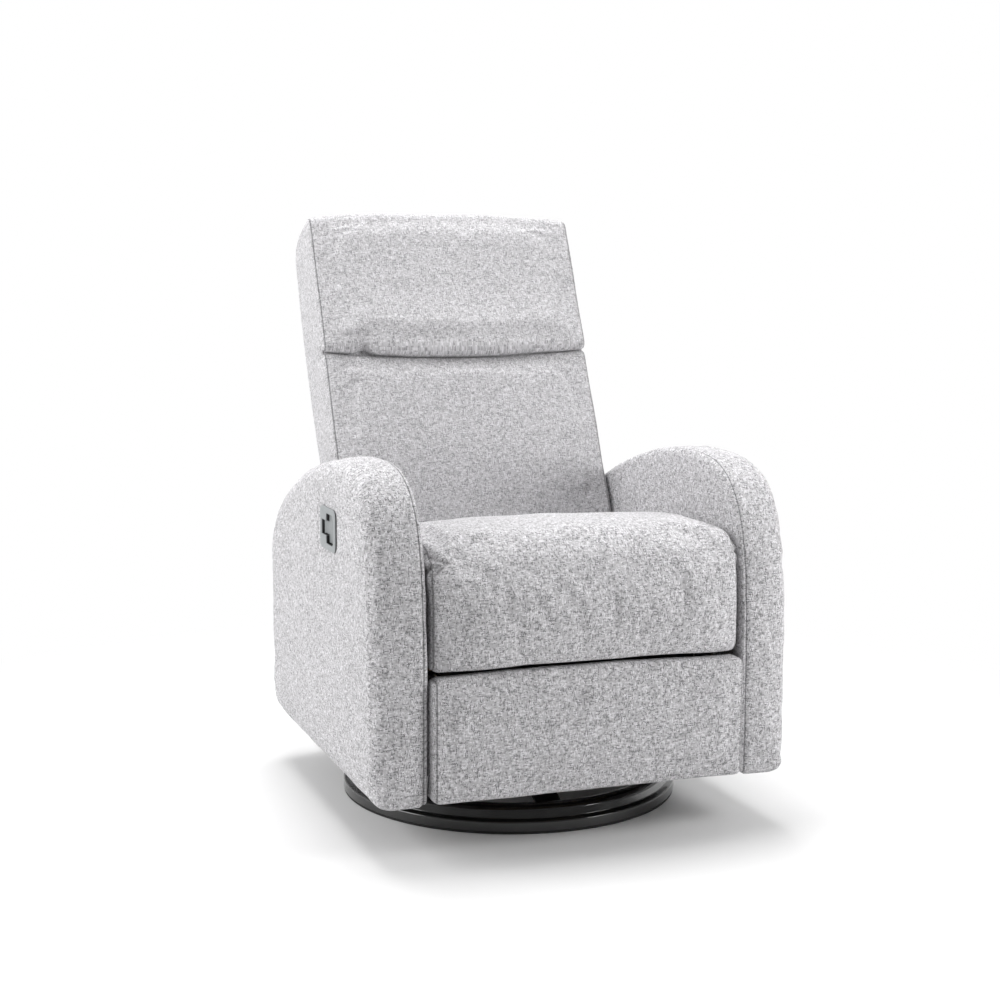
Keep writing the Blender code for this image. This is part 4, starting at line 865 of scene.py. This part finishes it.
def hang(pad):
    """The crease between the two pads is lower in the middle of the back."""
    co = places(pad)
    away = np.abs(co[:, 2] - CREASE)
    dip = CREASE_DIP * (1 - (co[:, 0] / BACK_HALF) ** 2)
    co[:, 2] -= dip * smooth_step(away, 0.12, 0.0)
    put_places(pad, co)


def panel_seam(co):
    """Each point's distance inside the seams down both sides of a pad's front face."""
    return np.where(co[:, 1] < -0.006, BACK_HALF - 0.0065 - np.abs(co[:, 0]), 1.0)


def arch(obj):
    """The top edge is lower at its two corners."""
    co = places(obj)
    share = np.abs(co[:, 0]) / BACK_HALF
    co[:, 2] -= 0.013 * smooth_step(co[:, 2], 0.58, 0.70) * share**3.5
    put_places(obj, co)


def pillow_held(co, low, high):
    """Where a pad's cloth is fixed: its rear, its sides and its two ends."""
    rear = smooth_step(co[:, 1], -0.016, -0.004)
    rim = smooth_step(np.abs(co[:, 0]), BACK_HALF - 0.060, BACK_HALF - 0.006)
    foot = smooth_step(co[:, 2], low + 0.050, low + 0.004)
    top = smooth_step(co[:, 2], high - 0.050, high - 0.004)
    return np.maximum.reduce([rear, rim, foot, top])


def make_rear_panel(linen):
    low, high = REAR_LOW, REAR_HIGH
    outline = [(high.y - 0.016, low.z), (high.y, low.z), (high.y, high.z - 0.012)]
    edge = (high.y, high.z - 0.010), (high.y, high.z - 0.002)
    outline += bezier(*edge, (high.y - 0.004, high.z), (high.y - 0.010, high.z), 4)
    outline += [(low.y, high.z), (low.y, high.z - 0.012), (high.y - 0.016, high.z - 0.012)]
    wide = ARM_LOW.x + 0.0035  # a little into the arms, which it is sewn to
    panel = swept("rear_cover", outline, -wide - 0.002, wide + 0.002, 0.003, 0.003, 3)
    remesh(panel, FINE_VOXEL, 1)
    subdivide(panel)
    ripple(panel, 0.0010, 0.08, 14)
    co = places(panel)
    co[:, 0] = np.clip(co[:, 0], -wide, wide)
    put_places(panel, co)
    lay_cloth(panel, outline, np.full(len(co), 1.0), shift=7.1)
    finish_cloth(panel, linen, "carriage", ["rear_panel"])


# Hard pieces


def lathe(name, profile, steps=160):
    """A ring round the swivel's axis, from its closed profile of (radius, z)."""
    mesh = bmesh.new()
    rings = []
    for i in range(steps):
        turn = 2 * math.pi * i / steps
        c, s = math.cos(turn), math.sin(turn)
        rings.append([mesh.verts.new((SWIVEL.x + r * c, SWIVEL.y + r * s, z)) for r, z in profile])
    count = len(profile)
    for i, ring in enumerate(rings):
        following = rings[(i + 1) % steps]
        for k in range(count):
            n = (k + 1) % count
            mesh.faces.new((ring[k], following[k], following[n], ring[n]))
    bmesh.ops.recalc_face_normals(mesh, faces=mesh.faces)
    obj = to_object(name, mesh)
    obj.data.shade_smooth()
    obj.data.set_sharp_from_angle(angle=math.radians(40))
    return obj


def corner(centre, radius, start, end, steps=6):
    """Points of an arc, its turns in degrees."""
    turns = np.radians(np.linspace(start, end, steps + 1))
    return [(centre[0] + radius * math.cos(t), centre[1] + radius * math.sin(t)) for t in turns]


def make_ring(gloss, rubber):
    outer, low, top = RING_HIGH.x, RING_LOW.z, RING_HIGH.z
    inner, wall = outer - 0.044, 0.0025
    step, shoulder = outer - 0.010, low + 0.45 * (top - low)
    profile = [(outer, low)] + corner((outer - 0.003, shoulder - 0.004), 0.003, 0, 80)
    profile += corner((step + 0.002, shoulder + 0.003), 0.0025, 250, 190, 4)
    rim = 0.012
    outside, inside = (step - 0.014, top - rim), (inner + rim, top - rim)
    profile += corner(outside, rim, 10, 90, 8) + corner(inside, rim, 90, 180, 8)
    profile += [(inner, low), (inner + wall, low)]
    profile += corner(inside, rim - wall, 180, 90, 4) + corner(outside, rim - wall, 90, 10, 4)
    profile += [(step - wall, shoulder), (outer - wall - 0.001, shoulder - 0.004), (outer - wall, low)]
    ring = lathe("base_ring_shell", profile)
    ring.data.materials.append(gloss)
    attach(ring, "base")
    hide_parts("base_ring")
    guard_low, guard_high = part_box("floor_guard_ring")
    outer = guard_high.x
    profile = corner((outer - 0.0012, guard_low.z + 0.0012), 0.0012, 270, 360, 3)
    profile += [(outer, guard_high.z), (outer - 0.042, guard_high.z)]
    profile += corner((outer - 0.0408, guard_low.z + 0.0012), 0.0012, 180, 270, 3)
    guard = lathe("floor_guard", profile)
    guard.data.materials.append(rubber)
    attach(guard, "base")
    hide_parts("floor_guard_ring")


def refine(name, node, body, material, bevel):
    """A CAD node's own shape with its edges broken, as moulded or pressed parts have them."""
    mesh = bmesh.new()
    mesh.from_mesh(frame["nodes"][node].data)
    bmesh.ops.remove_doubles(mesh, verts=mesh.verts, dist=1e-5)
    bmesh.ops.dissolve_limit(mesh, angle_limit=math.radians(1), verts=mesh.verts, edges=mesh.edges)
    obj = to_object(name, mesh)
    modifier = obj.modifiers.new("Bevel", "BEVEL")
    modifier.width = bevel
    modifier.segments = 3
    modifier.limit_method = "ANGLE"
    modifier.angle_limit = math.radians(32)
    settle(obj)
    obj.data.shade_smooth()
    obj.data.set_sharp_from_angle(angle=math.radians(50))
    obj.data.materials.clear()
    obj.data.materials.append(material)
    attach(obj, body)
    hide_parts(node)


def dress_nodes(materials):
    """Gives every CAD node that is still shown its material."""
    slots = {p["node"]: p["material_slot"] for p in frame["record"]["subparts"]}
    for members in frame["record"]["behaviour"]["bodies"].values():
        for node in members:
            material = materials.get(slots[node])
            obj = frame["nodes"][node]
            if material is None or obj.hide_render:
                continue
            obj.data.materials.clear()
            obj.data.materials.append(material)


# Stage and light


def make_floor():
    mesh = bmesh.new()
    bmesh.ops.create_circle(mesh, cap_ends=True, segments=96, radius=14.0)
    floor = to_object("floor", mesh)
    s = Shader("floor")
    place = s.place()
    far = s.node("ShaderNodeVectorMath", {0: place}, operation="LENGTH").outputs["Value"]
    share = s.step(far, 0.70, 1.50)
    s.set(colour=grey(0.80), rough=0.6, level=0.2)
    glow = s.node("ShaderNodeEmission", {"Color": (1, 1, 1, 1), "Strength": 1.0})
    mixed = s.node("ShaderNodeMixShader", {0: share, 1: s.main.outputs[0], 2: glow.outputs[0]})
    s.put(s.tree.nodes["Material Output"].inputs["Surface"], mixed.outputs[0])
    floor.data.materials.append(s.material)


def add_area(name, at, to, size, power):
    data = bpy.data.lights.new(name, "AREA")
    data.shape = "RECTANGLE"
    data.size = data.size_y = size
    data.energy = power
    light = bpy.data.objects.new(name, data)
    bpy.context.scene.collection.objects.link(light)
    light.location = at
    light.rotation_euler = (Vector(to) - Vector(at)).to_track_quat("-Z", "Y").to_euler()


def make_light():
    world = bpy.data.worlds.new("studio")
    bpy.context.scene.world = world
    world.use_nodes = True
    tree = world.node_tree
    background = tree.nodes["Background"]
    direction = tree.nodes.new("ShaderNodeTexCoord")
    split = tree.nodes.new("ShaderNodeSeparateXYZ")
    tree.links.new(direction.outputs["Generated"], split.inputs[0])
    ramp = tree.nodes.new("ShaderNodeMapRange")
    for key, value in enumerate(SKY, 1):
        ramp.inputs[key].default_value = value
    tree.links.new(split.outputs["Y"], ramp.inputs[0])
    path = tree.nodes.new("ShaderNodeLightPath")
    shown = tree.nodes.new("ShaderNodeMix")
    tree.links.new(path.outputs["Is Camera Ray"], shown.inputs[0])
    tree.links.new(ramp.outputs[0], shown.inputs[2])
    shown.inputs[3].default_value = 1.0
    tree.links.new(shown.outputs[0], background.inputs["Strength"])
    background.inputs["Color"].default_value = (1, 1, 1, 1)
    for name, at, to, size, power in SOFTBOXES:
        add_area(name, at, to, size, power)


def main():
    scene = bpy.context.scene
    scene.view_settings.view_transform = "Standard"
    make_camera()
    firm, soft = make_linen("linen_firm", 1.0), make_linen("linen_soft", 0.75)
    gloss, powder, zinc = make_gloss_black(), make_powder_black(), make_zinc()
    plywood, rubber, webbing = make_plywood(), make_rubber(), make_webbing()
    for side, name in ((1, "left"), (-1, "right")):
        make_arm(side, name, firm)
    make_seat(firm)
    make_footrest(firm)
    make_back(soft)
    make_rear_panel(soft)
    make_ring(gloss, rubber)
    # both plastics carry painted shade, near black where they sit inside the handle's cup
    bezel = make_grey_plastic("bezel_plastic", -ARM_HIGH.x - 0.0016)
    paddle = make_grey_plastic("paddle_plastic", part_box("handle_paddle")[0].x + 0.0008)
    refine("release_bezel", "handle_bezel", "carriage", bezel, 0.0008)
    refine("release_paddle", "handle_paddle", "handle", paddle, 0.0010)
    finishes = {"black_steel": powder, "zinc_steel": zinc, "plywood": plywood}
    dress_nodes(finishes | {"rubber": rubber, "webbing": webbing})
    make_floor()
    make_light()


main()
